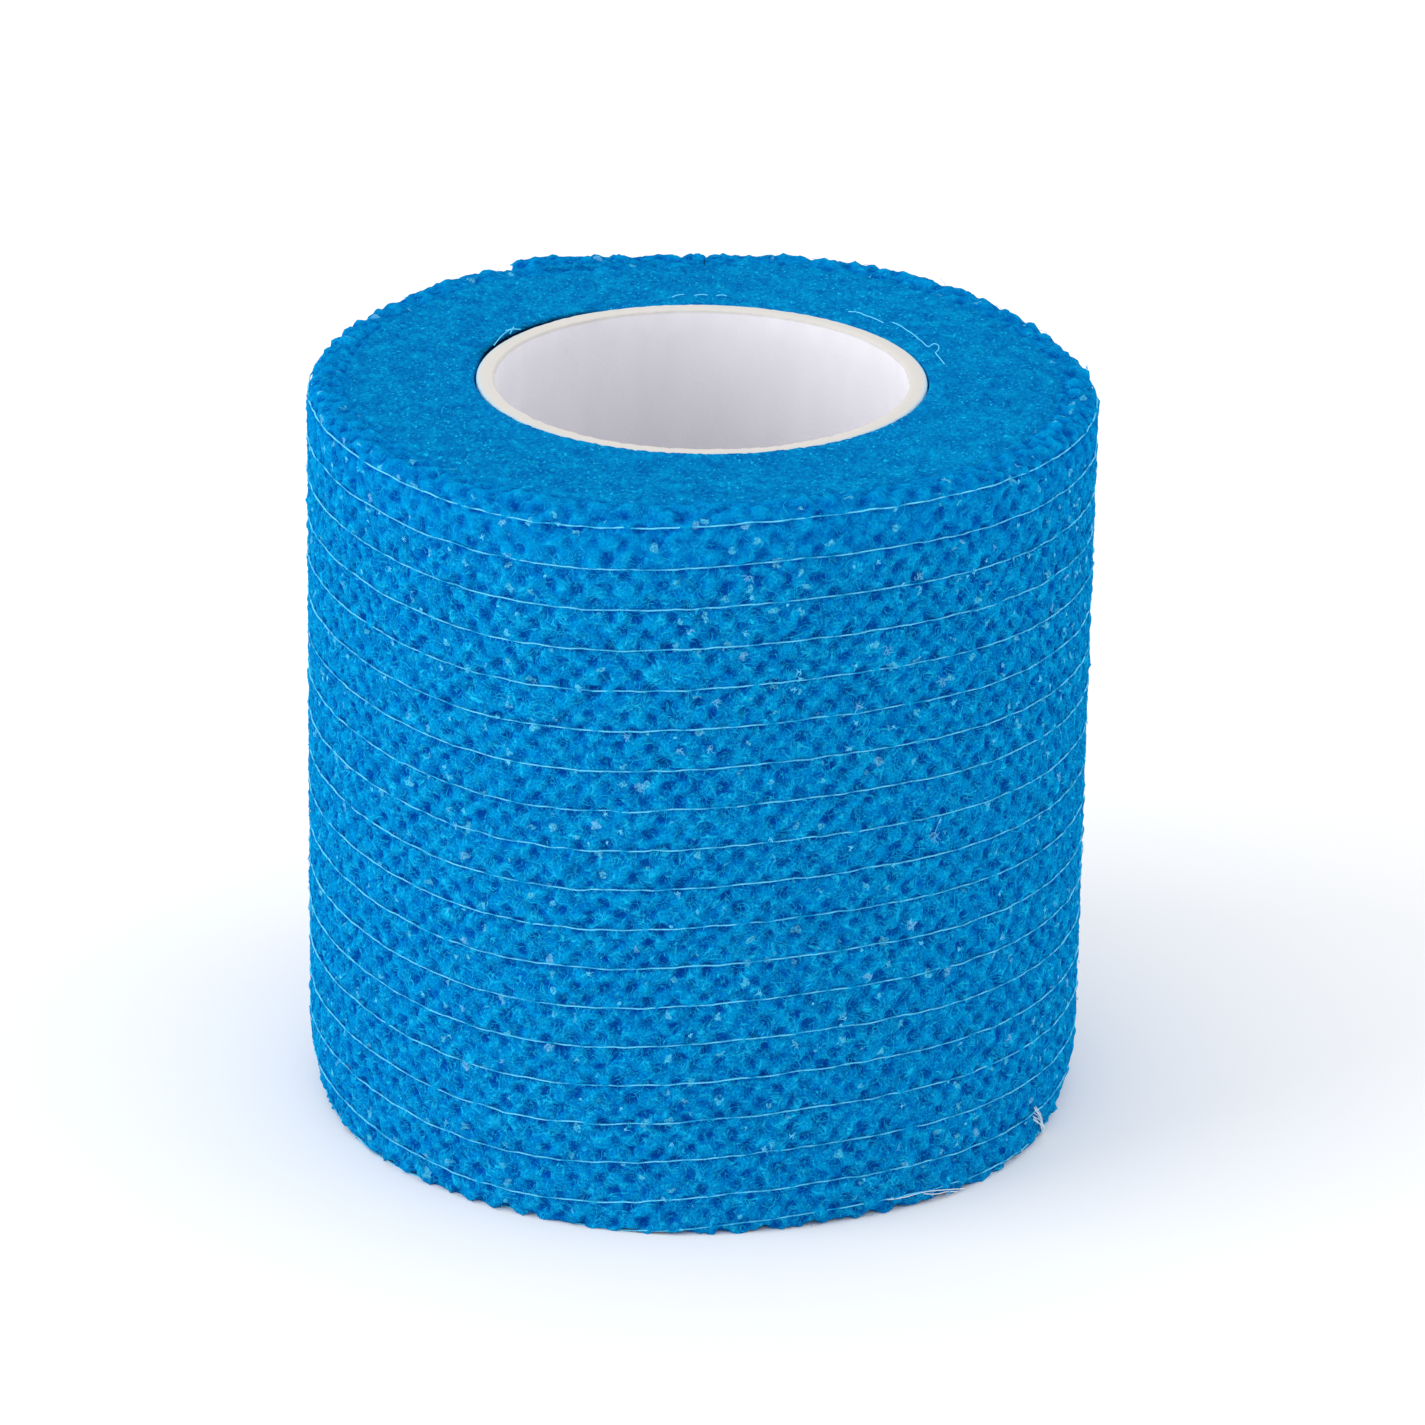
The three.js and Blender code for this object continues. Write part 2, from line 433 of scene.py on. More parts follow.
def section_point(graph, turn, length):
    """The outer cloth's section at a length up it: radius, height, the ways out and up, and reach.

    The lengths run from under the foot over the wall to the top face. The reach says how far in a
    point lies past the rim's or the foot's rounding.
    """
    rim = graph.input("Rim rounding")
    foot = graph.input("Foot rounding")
    outer = tape_radius(graph, turn)
    rim_start = edge_sway(turn) - rim + TAPE_WIDTH
    lean = ((length - rim_start) / rim).between(0.0, QUARTER)
    tuck = ((foot - length) / foot).between(0.0, QUARTER)
    reach_in = (length - rim_start - rim * QUARTER).at_least(0.0)
    reach_under = (foot - length - foot * QUARTER).at_least(0.0)
    radius = outer - rim * (1.0 - lean.cosine()) - foot * (1.0 - tuck.cosine()) - reach_in - reach_under
    radius = radius - foot_tuck(turn, length)
    fall = inside_rim(graph, radius)
    top = rim_height(graph, turn, radius, outer) - rim * (1.0 - lean.sine()) - fall * fall * RIM_FALL
    wall = length.at_most(rim_start).at_least(foot) - foot * tuck.sine()
    height = wall + (top - rim_start) * length.above(rim_start) + reach_under * FOOT_SLOPE
    out = lean.cosine() * tuck.cosine()
    up = lean.sine() - tuck.sine()
    return radius, height, out, up, reach_in + reach_under


def inside_rim(graph, radius):
    """How far inside the rim's rounding a radius is, as a share of the outer turns' reach."""
    top_edge = graph.input("Outer radius") - graph.input("Rim rounding")
    return ((top_edge - radius) / RIM_REACH).at_least(0.0)


def foot_tuck(turn, length):
    """How far the wall draws in just above the floor; where this is negative, it bulges."""
    side = (turn * DEGREE).sine()
    square = side * side
    drawn_in = square * square * square * square * FOOT_TUCK
    for depth, middle, reach in FOOT_BULGES:
        drawn_in = drawn_in - swell(turn, middle, reach) * depth
    low = (1.0 - length / FOOT_TUCK_HEIGHT).between(0.0, 1.0)
    return drawn_in * low * low


def pattern_place(graph, turn, length):
    """The place on the flat tape, in millimetres, of a turn and a length up the section."""
    along = turn * (DEGREE * WOUND_RADIUS)
    sway = edge_sway(turn) * (FOOT_SWAY_GAIN - length * ((FOOT_SWAY_GAIN - 1) / TAPE_WIDTH))
    return graph.vector(along, (length - sway) / MM, 0.0)


def cloth_relief(graph, plane):
    """Height of the cloth's face in metres: its pits, its crumpled ridges and its threads' furrows."""
    furrow = 1.0 - abs(off_thread(graph, plane)).rising(0.05, 0.4)
    pits = crinkle(graph, plane) * calm(graph, plane, 0.4) * graph.input("Pit depth")
    uneven = crumple(graph, plane) * CRUMPLE_HEIGHT + edge_lumps(graph, plane) * LUMP_HEIGHT
    return uneven - pits - furrow * FURROW_DEPTH


WHOLE_INPUTS = ("Columns", "Rows", "Inside rows", "Seed")


def new_tree(name, *inputs):
    """A Geometry Nodes tree with named inputs, and the graph that fills it."""
    tree = bpy.data.node_groups.new(name, "GeometryNodeTree")
    for label in inputs:
        kind = "NodeSocketInt" if label in WHOLE_INPUTS else "NodeSocketFloat"
        tree.interface.new_socket(label, in_out="INPUT", socket_type=kind)
    tree.interface.new_socket("Mesh", in_out="OUTPUT", socket_type="NodeSocketGeometry")
    return Graph(tree)


def creased(graph, mesh):
    """The mesh with its square edges kept crisp."""
    square = graph.node("GeometryNodeInputMeshEdgeAngle", output="Unsigned Angle").above(1.2)
    inputs = {0: mesh, "Selection": square, "Shade Smooth": False}
    return graph.node("GeometryNodeSetShadeSmooth", {"domain": "EDGE"}, inputs)


def end_tree(graph, geometry, material):
    """Ends a tree, and gives its graph: smooth faces, instances made real, and the material set."""
    smooth = graph.node("GeometryNodeSetShadeSmooth", inputs={0: geometry})
    real = graph.node("GeometryNodeRealizeInstances", inputs={0: smooth})
    finished = graph.node("GeometryNodeSetMaterial", inputs={0: real, "Material": material})
    graph.end("NodeGroupOutput", finished)
    return graph


def linked(name, data):
    """A new object with this data, in the scene."""
    made = bpy.data.objects.new(name, data)
    bpy.context.scene.collection.objects.link(made)
    return made


def plain_mesh(maker):
    """The finished mesh of an object that is only there to make it, and is removed."""
    mesh = bpy.data.meshes.new_from_object(maker.evaluated_get(bpy.context.evaluated_depsgraph_get()))
    data = maker.data
    bpy.data.objects.remove(maker)
    bpy.data.batch_remove([data])
    return mesh


def named_sizes():
    """The values of the trees' named inputs, from the scene's sizes."""
    sizes = bpy.context.scene.roll_sizes
    named = {"Inner radius": CORE_OUTER}
    for size in RollSizes.__annotations__:
        named[size.replace("_", " ").capitalize()] = getattr(sizes, size)
    return named


def grow(name, graph, values):
    """Runs a tree and keeps its result as a plain piece."""
    maker = linked(name + "_maker", bpy.data.meshes.new(name + "_seed"))
    modifier = maker.modifiers.new("shape", "NODES")
    modifier.node_group = graph.tree
    sizes = {**named_sizes(), **values}
    for item in graph.tree.interface.items_tree:
        if item.in_out == "INPUT":
            modifier[item.identifier] = sizes[item.name]
    return add_piece(name, plain_mesh(maker))


def add_piece(name, mesh):
    """Puts a finished mesh in the scene as a piece that rides with the roll."""
    if not mesh.polygons:
        raise RuntimeError(f"{name} came out empty")
    mesh.name = name
    piece = linked(name, mesh)
    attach(piece, "root")
    return piece


SECTION_INPUTS = ("Outer radius", "Inner radius", "Rim rounding", "Foot rounding", "Pit depth")


def grid_shares(graph, columns, rows):
    """A flat grid, and each point's share along its columns and up its rows."""
    inputs = {"Size X": 1.0, "Size Y": 1.0, "Vertices X": columns, "Vertices Y": rows}
    grid = graph.node("GeometryNodeMeshGrid", inputs=inputs)
    x, y, _ = graph.position()
    return grid, x + 0.5, y + 0.5


def closing_column(column_share, columns):
    """The number of a point's column, 0 again for the last one, which closes the ring."""
    column = column_share * columns
    return column * (columns - 0.5 - column).above(0.0)


SEAM_WIDTH = 0.0001 * MM


def shaped(graph, mesh, place, plane=None):
    """Moves a mesh's points, keeps their place on the tape as its UV map, and joins its seams."""
    if plane:
        settings = {"data_type": "FLOAT2", "domain": "CORNER"}
        inputs = {"Geometry": mesh, "Name": "tape", "Value": plane}
        mesh = graph.node("GeometryNodeStoreNamedAttribute", settings, inputs)
    inputs = {"Geometry": graph.placed(mesh, place), "Distance": SEAM_WIDTH}
    return graph.node("GeometryNodeMergeByDistance", inputs=inputs)


# Outer turns: the crinkled wall, folded in over the rim and under the foot

STEP_LEAN = 0.25  # degrees that the step's face leans
RIM_REACH = 2.4 * MM  # how far the outer turns reach in over the top face
RIM_FALL = 0.35 * MM  # how far they dip there, under the inner turns
FOOT_REACH = 1.2 * MM
FOOT_SLOPE = 0.2
FELT_FADE = (0.12, 0.75)  # shares of their reach over which the cloth turns into felt
STEP_FADE = (158.0, 178.0)  # turns on both sides over which it also does, beside the step
TURN_COLUMNS = 538
TURN_ROWS = 178
HIDDEN_ROWS = 4


def outer_turns_tree(material):
    """Tree of the outer turns: a grid that closes around the roll and around its section."""
    graph = new_tree("Outer turns", *SECTION_INPUTS, "Columns", "Rows", "Inside rows")
    columns, rows, inside_rows = (graph.input(label) for label in ("Columns", "Rows", "Inside rows"))
    grid, column_share, row_share = grid_shares(graph, columns + 1.0, rows + inside_rows + 1.0)
    column = closing_column(column_share, columns)
    turn = column * (FULL_TURN - STEP_LEAN) / (columns - 1.0) - HALF_TURN
    row = row_share * (rows + inside_rows)
    outside = (row / rows).at_most(1.0)
    inside = ((row - rows) / inside_rows).at_least(0.0)
    lowest = graph.input("Foot rounding") * (1 - QUARTER) - FOOT_REACH
    highest = edge_sway(turn) + graph.input("Rim rounding") * (QUARTER - 1) + (TAPE_WIDTH + RIM_REACH)
    length = lowest + (highest - lowest) * outside
    radius, height, out, up, reach = section_point(graph, turn, length)
    plane = pattern_place(graph, turn, length)
    at_step = abs(turn).rising(*STEP_FADE) * (reach / RIM_REACH).rising(0.0, 0.2)
    faded = inside_rim(graph, radius).rising(*FELT_FADE).at_least(at_step)
    shown = outside.rising(0.0, 0.012) * (1.0 - inside.above(0.0))
    relief = cloth_relief(graph, plane) * (1.0 - faded) + felt_height(graph, turn, radius) * faded
    foot_radius = tape_radius(graph, turn) - graph.input("Foot rounding") - FOOT_REACH
    hidden_radius = radius + (foot_radius - radius) * inside
    hidden_height = height + (FOOT_REACH * FOOT_SLOPE - height) * inside
    relief = relief * shown
    height = (hidden_height + relief * up).at_least(0.0)
    place = place_at(graph, turn, hidden_radius + relief * out, height)
    return end_tree(graph, creased(graph, shaped(graph, grid, place, plane)), material)


# Inner turns: the felted edges of all the other turns, at the top and at the foot

EDGE_COLUMNS = 800
EDGE_ROWS = 120
EDGE_BREAKS = (0.54, 0.60, 0.95)  # shares of the rows where the top, the bore side and the foot end
CORE_CLEARANCE = 0.02 * MM
CORE_GAP = 0.28 * MM
CORE_LAP = 0.15 * MM  # how far the felt stands above the tube in front, and below it behind
CORE_LAP_REACH = 1.2 * MM
FELTED_LIP = 0.5 * MM  # how far from the tube the felt is pressed flatter
FELT_ROUNDING = 0.05 * MM
FELT_ROUNDING_REACH = 0.12 * MM
CORE_GAP_TURN = -127.0
CORE_GAP_SPREAD = 20.0
EDGE_OVERLAP = 2.1 * MM  # how far inside the wall the inner turns end
EDGE_SINK = 0.5 * MM  # how far their edge dips there, under the outer turns
EDGE_SINK_REACH = 0.9 * MM
FOOT_FELT_RISE = 0.12 * MM  # how far the felt under the foot is off the floor, on average


def inner_turns_tree(material):
    """Tree of the inner turns: a grid that runs in over the top, down, out under the foot and up."""
    graph = new_tree("Inner turns", "Outer radius", "Inner radius", "Columns", "Rows")
    columns = graph.input("Columns")
    grid, column_share, row_share = grid_shares(graph, columns + 1.0, graph.input("Rows") + 1.0)
    turn = closing_column(column_share, columns) * FULL_TURN / columns - HALF_TURN
    stretches = zip((0.0, *EDGE_BREAKS), (*EDGE_BREAKS, 1.0))
    over_top, down, under_foot, back_up = (
        ((row_share - start) / (end - start)).between(0.0, 1.0) for start, end in stretches
    )
    off_gap = (turn - CORE_GAP_TURN) / CORE_GAP_SPREAD
    gap = CORE_GAP / (off_gap * off_gap * off_gap * off_gap + 1.0)
    inner = graph.input("Inner radius") + CORE_CLEARANCE + gap
    rim = turns_radius(graph, turn)
    top_outer = graph.input("Outer radius") - EDGE_OVERLAP
    outer = top_outer + (rim - EDGE_OVERLAP - top_outer) * (under_foot.above(0.0) - back_up)
    radius = outer + (inner - outer) * (over_top - under_foot)

    def near_tube(reach):
        return ((inner - radius) / reach).exponent()

    felt = felt_height(graph, turn, radius) * (1.0 - near_tube(FELTED_LIP) * 0.7)
    rounding = near_tube(FELT_ROUNDING_REACH) * FELT_ROUNDING
    lap = near_tube(CORE_LAP_REACH) * (turn * DEGREE).cosine() * CORE_LAP
    sinking = (radius - outer).rising(-EDGE_SINK_REACH, 0.0) * EDGE_SINK
    top = rim_height(graph, turn, radius, rim) + felt - rounding - sinking + lap
    foot = (felt + rounding + FOOT_FELT_RISE).at_least(0.0) + sinking
    height = top + (foot - top) * (down - back_up)
    return end_tree(graph, shaped(graph, grid, place_at(graph, turn, radius, height)), material)


# Loose end: the lifted last stretch of the outermost turn

LOOSE_COLUMNS = 43
LOOSE_ROWS = 178
LOOSE_LOW = 0.4 * MM
LOOSE_REACH = 1.3 * MM  # how far it reaches in over the top before it lifts
LOOSE_START = 0.7  # degrees that it starts before the step
LOOSE_PROUD = 0.06 * MM  # how far its top stands above the roll's
LOOSE_EXTRA = 0.7  # degrees that it reaches past its solid's end
CUT_RAG = 1.6  # degrees that its cut end strays, at most
CUT_FINENESS = 60.0
SOFT_EDGE = (-0.3 * MM, 0.5 * MM)  # distances from its edges over which it thickens
TIP_ROUNDING = 0.9 * MM
TIP_FALL = 0.65 * MM
TIP_FALL_REACH = (-3.0 * MM, -0.8 * MM)  # up the section, from the tape's own edge


def loose_end_tree(material):
    """Tree of the loose end: a thin box of cloth, bent round the roll and lifting from it."""
    graph = new_tree("Loose end", *SECTION_INPUTS, "Tape thickness", "Columns", "Rows")
    inputs = {
        "Size": (1.0, 1.0, 1.0),
        "Vertices X": graph.input("Columns"),
        "Vertices Y": 3,
        "Vertices Z": graph.input("Rows"),
    }
    box = graph.node("GeometryNodeMeshCube", inputs=inputs)
    x, y, z = graph.position()
    share = x + 0.5
    ragged = graph.speckle(graph.vector(0.0, 0.0, z * CUT_FINENESS), 1.0, 3.0) - 0.5
    span = ragged * CUT_RAG + (LOOSE_START + LOOSE_TURN + LOOSE_EXTRA)
    turn = share * span + (HALF_TURN - LOOSE_START)
    off_tip = (1.0 - share) * (LOOSE_TURN * DEGREE) * graph.input("Outer radius")
    rim = graph.input("Rim rounding")
    reach = rim * (QUARTER - 1) + share * share * LOOSE_LIFT + LOOSE_REACH
    tip_fall = (1.0 - off_tip / TIP_ROUNDING).at_least(0.0)
    highest = edge_sway(turn) + reach + TAPE_WIDTH
    length = (z + 0.5) * (highest - LOOSE_LOW) + LOOSE_LOW
    radius, height, out, up, reached = section_point(graph, turn, length)
    plane = pattern_place(graph, turn, length)
    sunk = (reached / reach).rising(0.3, 1.0) * 2.0 + (1.0 - share.rising(0.0, 0.12)) * 1.3
    proud = up * (1.0 - sunk) * LOOSE_PROUD
    relief = cloth_relief(graph, plane) + proud
    off_edge = (length - LOOSE_LOW).at_most(highest - length).at_most(off_tip)
    softened = off_edge.rising(*SOFT_EDGE) * 0.7 + 0.3
    inwards = (y + 0.5) * graph.input("Tape thickness") * softened - relief * (0.5 - y)
    fallen = tip_fall * tip_fall * (length - TAPE_WIDTH).rising(*TIP_FALL_REACH) * TIP_FALL
    place = place_at(graph, turn, radius - inwards * out, height - inwards * up - fallen)
    return end_tree(graph, shaped(graph, box, place, plane), material)


# Elastic threads: they lie along the cloth and stand out at its ends

THREAD_POINTS = 440
THREAD_SEED = 3
THREAD_OVERHANG = 0.7  # degrees that the longest thread stands out past the loose end
THREAD_LIFT = 0.22 * MM  # twice the most that a thread rises or sinks
THREAD_BED = 0.01 * MM


def threads_tree(material):
    """Tree of the elastic threads: one curve for each, laid along the pattern's own lines."""
    graph = new_tree("Elastic threads", *SECTION_INPUTS, "Thread radius", "Rows", "Seed")
    line = graph.node("GeometryNodeCurvePrimitiveLine", inputs={"End": (1.0, 0.0, 0.0)})
    line = graph.node("GeometryNodeResampleCurve", inputs={"Curve": line, "Count": THREAD_POINTS})
    inputs = {"Geometry": line, "Amount": graph.input("Rows")}
    lines = graph.node("GeometryNodeDuplicateElements", {"domain": "SPLINE"}, inputs)
    number = graph.other(lines, "Duplicate Index")
    share = graph.node("GeometryNodeSplineParameter", output="Factor")
    inputs = {"Min": 0.4, "Max": 1.0, "ID": number, "Seed": graph.input("Seed")}
    overhang = graph.node("FunctionNodeRandomValue", {"data_type": "FLOAT"}, inputs, "Value")
    span = overhang * THREAD_OVERHANG + (FULL_TURN + LOOSE_TURN)
    turn = share * span - HALF_TURN
    across = (number * -THREAD_PITCH + FIRST_THREAD).at_least(LOWEST_THREAD)
    along = turn * (DEGREE * WOUND_RADIUS)
    track = graph.vector(along, (number + 0.5) * TRACK_SPACING, 0.0)
    lift = graph.speckle(track, 0.7, 2.0) - 0.5
    sway = edge_sway(turn) * (FOOT_SWAY_GAIN - across * ((FOOT_SWAY_GAIN - 1) * MM / TAPE_WIDTH))
    length = (across + thread_stray(graph, along, number)) * MM + sway
    radius, height, _, _, _ = section_point(graph, turn, length)
    height = height.at_least(graph.input("Thread radius"))
    place = place_at(graph, turn, radius + lift * THREAD_LIFT - THREAD_BED, height)
    threads = tubes(graph, graph.placed(lines, place), graph.input("Thread radius"))
    return end_tree(graph, threads, material)


def tubes(graph, curves, radius):
    """Three-sided closed tubes along curves."""
    profile = graph.node("GeometryNodeCurvePrimitiveCircle", inputs={"Resolution": 3, "Radius": radius})
    inputs = {"Curve": curves, "Profile Curve": profile, "Fill Caps": True}
    return graph.node("GeometryNodeCurveToMesh", inputs=inputs)


# Loose fibres: short bent hairs strewn over the cloth

FIBRE_BENDS = (-0.8, -0.5, -0.28, 0.1, 0.32, 0.62, 0.95)
FIBRE_MEAN = 1.1 * MM
WALL_FIBRE_SEEDS = {"wall_fibres_a": 11, "wall_fibres_b": 31}
WALL_FIBRE_DENSITY = 0.9e6  # to a square metre, in each of the wall's two pieces
WALL_FIBRE_LENGTHS = (0.35 * MM, 1.3 * MM)
TOP_FIBRE_SEED = 71
TOP_FIBRE_DENSITY = 4.2e6
TOP_FIBRE_LENGTHS = (0.2 * MM, 0.6 * MM)
FIBRE_REST = 0.02 * MM  # the lowest that a fibre lies above the floor
SPARSE_HEIGHTS = (TAPE_WIDTH - 5.0 * MM, TAPE_WIDTH - 0.5 * MM)  # they thin out between these
SPARSE_SHARE = 0.6

# The smooth sheets that they are strewn over
SHEET_COLUMNS = 181
WALL_SHEET_ROWS = 61
WALL_SHEET_LOW = 0.3 * MM
WALL_SHEET_LENGTH = TAPE_WIDTH + 1.4 * MM
TOP_SHEET_ROWS = 13
TOP_SHEET_INSET = 0.8 * MM
TOP_SHEET_CLEARANCE = 0.2 * MM  # from the tube


def hairs(graph, radius, steps):
    """A few hairs of unit length, each bent its own way, as instances."""
    kinds = []
    for bend in FIBRE_BENDS:
        inputs = {
            "Resolution": steps,
            "Start": (-0.5, 0.0, 0.0),
            "Middle": (0.1 * bend, bend, abs(bend) * 0.1),
            "End": (0.5, 0.0, 0.0),
        }
        path = graph.node("GeometryNodeCurveQuadraticBezier", inputs=inputs)
        hair = tubes(graph, path, radius)
        kinds.append(graph.node("GeometryNodeGeometryToInstance", inputs={0: hair}))
    return graph.node("GeometryNodeJoinGeometry", inputs={0: kinds})


def strewn(graph, sheet, density, lengths, steepest, steps):
    """Hairs strewn over a sheet, most of them lying flat, with a shade of their own each."""
    seed = graph.input("Seed")
    inputs = {"Mesh": sheet, "Density": density, "Seed": seed}
    points = graph.node("GeometryNodeDistributePointsOnFaces", inputs=inputs)

    def chance(low, high, step):
        ends = {"Min": low, "Max": high, "Seed": seed + float(step)}
        return graph.node("FunctionNodeRandomValue", {"data_type": "FLOAT"}, ends, "Value")

    tilt = chance(0.0, 1.0, 1)
    lean = graph.vector(0.0, tilt * tilt * -steepest, 0.0)
    spin = graph.vector(0.0, 0.0, chance(0.0, 2 * math.pi, 2))
    rotation = graph.other(points, "Rotation")
    for turning in (spin, lean):
        turned_by = graph.node("FunctionNodeEulerToRotation", inputs={0: turning})
        inputs = {"Rotation": rotation, "Rotate By": turned_by}
        rotation = graph.node("FunctionNodeRotateRotation", {"rotation_space": "LOCAL"}, inputs)
    size = chance(*lengths, 3)
    inputs = {
        "Points": points,
        "Instance": hairs(graph, graph.input("Fibre radius") / FIBRE_MEAN, steps),
        "Pick Instance": True,
        "Rotation": rotation,
        "Scale": graph.vector(size, size, size),
    }
    laid = graph.node("GeometryNodeInstanceOnPoints", inputs=inputs)
    settings = {"data_type": "FLOAT", "domain": "INSTANCE"}
    inputs = {"Geometry": laid, "Name": "shade", "Value": chance(0.0, 1.0, 4)}
    return graph.node("GeometryNodeStoreNamedAttribute", settings, inputs)


def wall_sheet(graph):
    """The smooth form of the outermost turn and its loose end, as a sheet to strew things on."""
    grid, column_share, row_share = grid_shares(graph, SHEET_COLUMNS, WALL_SHEET_ROWS)
    turn = column_share * FULL_TURN + (LOOSE_TURN - HALF_TURN)
    length = row_share * WALL_SHEET_LENGTH + WALL_SHEET_LOW
    radius, height, _, _, _ = section_point(graph, turn, length)
    return graph.placed(grid, place_at(graph, turn, radius, height))


def wall_fibres_tree(material):
    """Tree of the fibres that lie across the wall."""
    graph = new_tree("Wall fibres", *SECTION_INPUTS, "Fibre radius", "Density", "Seed")
    _, _, z = graph.position()
    density = graph.input("Density") * (1.0 - z.rising(*SPARSE_HEIGHTS) * SPARSE_SHARE)
    hairy = strewn(graph, wall_sheet(graph), density, WALL_FIBRE_LENGTHS, steepest=0.1, steps=3)
    hairy = graph.node("GeometryNodeRealizeInstances", inputs={0: hairy})
    x, y, z = graph.position()
    return end_tree(graph, graph.placed(hairy, graph.vector(x, y, z.at_least(FIBRE_REST))), material)


def edge_sheet(graph):
    """The smooth form of the roll's top, as a sheet to strew things on."""
    grid, column_share, row_share = grid_shares(graph, SHEET_COLUMNS, TOP_SHEET_ROWS)
    turn = column_share * FULL_TURN - HALF_TURN
    rim = turns_radius(graph, turn)
    reach = graph.input("Inner radius") - rim + (TOP_SHEET_INSET + TOP_SHEET_CLEARANCE)
    radius = rim - TOP_SHEET_INSET + reach * row_share
    return graph.placed(grid, place_at(graph, turn, radius, rim_height(graph, turn, radius, rim)))


def top_fibres_tree(material):
    """Tree of the fibres that stand out of the felted top."""
    graph = new_tree("Top fibres", *SECTION_INPUTS, "Fibre radius", "Density", "Seed")
    density = graph.input("Density")
    hairy = strewn(graph, edge_sheet(graph), density, TOP_FIBRE_LENGTHS, steepest=1.5, steps=2)
    return end_tree(graph, hairy, material)


# Materials


def new_material(name):
    """An empty node material, the graph that fills it, and the roll's colours."""
    material = bpy.data.materials.new(name)
    material.use_nodes = True
    material.node_tree.nodes.clear()
    return material, Graph(material.node_tree), bpy.context.scene.tape_looks


def end_material(graph, colour, roughness, height):
    """Ends a material: a rough surface of this colour, with a bump of this height in metres."""
    inputs = {"Strength": 1.0, "Distance": 1.0, "Height": height}
    bump = graph.node("ShaderNodeBump", inputs=inputs, output="Normal")
    inputs = {"Base Color": colour, "Roughness": roughness, "Specular IOR Level": 0.0, "Normal": bump}
    graph.end("ShaderNodeOutputMaterial", graph.node("ShaderNodeBsdfPrincipled", inputs=inputs))


def object_place(graph):
    """A point's place on the piece, in millimetres."""
    place = graph.node("ShaderNodeTexCoord", output="Object")
    return graph.scaled(place, (1 / MM, 1 / MM, 1 / MM))


FIBRE_WAYS = (12, 47, 83, 118, 156)  # degrees that the layers of fibres lean to the tape


def fibre_web(graph, plane):
    """Fine pale fibres that cross the cloth in many ways, from 0 to 1."""
    strayed = graph.moved(plane, graph.drift(plane, 0.8, 1.2))
    web = 0.0
    for number, way in enumerate(FIBRE_WAYS):
        inputs = {"Vector": strayed, "Angle": way * DEGREE}
        turned = graph.node("ShaderNodeVectorRotate", {"rotation_type": "Z_AXIS"}, inputs)
        stretched = graph.moved(graph.scaled(turned, (0.75, 2.6, 1.0)), (0.0, 0.0, 7.3 * number))
        layer, cover, _ = graph.parts(graph.other(graph.speckle(stretched, 1.0, 1.0), "Color"))
        line = (1.0 - abs(layer - 0.5).rising(0.0, 0.03)) * cover.rising(0.42, 0.56)
        web = line.at_least(web)
    return web


def spots(graph, plane, spacing, share, size):
    """Ragged spots on the cloth, in this share of squares of this spacing, all in millimetres."""
    strayed = graph.moved(plane, graph.drift(plane, 2.4, 0.8))
    settings = {"voronoi_dimensions": "2D", "feature": "F1"}
    inputs = {"Vector": strayed, "Scale": 1.0 / spacing}
    distance = graph.node("ShaderNodeTexVoronoi", settings, inputs, "Distance")
    drawn, varied, _ = graph.parts(graph.other(distance, "Color"))
    reach = (varied * 0.6 + 0.4) * (size / spacing)
    return (reach - distance).rising(0.0, 0.25 * size / spacing) * (1.0 - drawn.above(share))


def dyed(graph, looks, tone):
    """Colour of the cloth at a tone from 0, deep in a pit, to 1, on a ridge; the pit end is partly
    painted shade.
    """
    colour = graph.mixed((tone * 2.0).between(0.0, 1.0), looks.pit, looks.cloth)
    return graph.mixed((tone * 2.0 - 1.0).between(0.0, 1.0), colour, looks.ridge)


FELT_TINT = (0.02, 0.29, 0.0)  # the felt is a little greener than the face of the cloth
FELT_TINT_SHARE = 0.06


def felt_colour(graph, looks, place):
    """Colour of the felted edges: the same cloth, finely mottled, with pale points."""
    mottle = graph.speckle(place, 3.2, 4.0)
    clouds = graph.speckle(place, 0.85, 1.0)
    colour = dyed(graph, looks, (mottle - 0.5) * 1.3 + (clouds - 0.5) * 0.9 + 0.56)
    points = graph.speckle(graph.moved(place, (9.0, 4.0, 2.0)), 4.5, 1.0).rising(0.62, 0.72)
    colour = graph.mixed(points * 0.6, colour, looks.fibre)
    return graph.mixed(FELT_TINT_SHARE, colour, FELT_TINT)


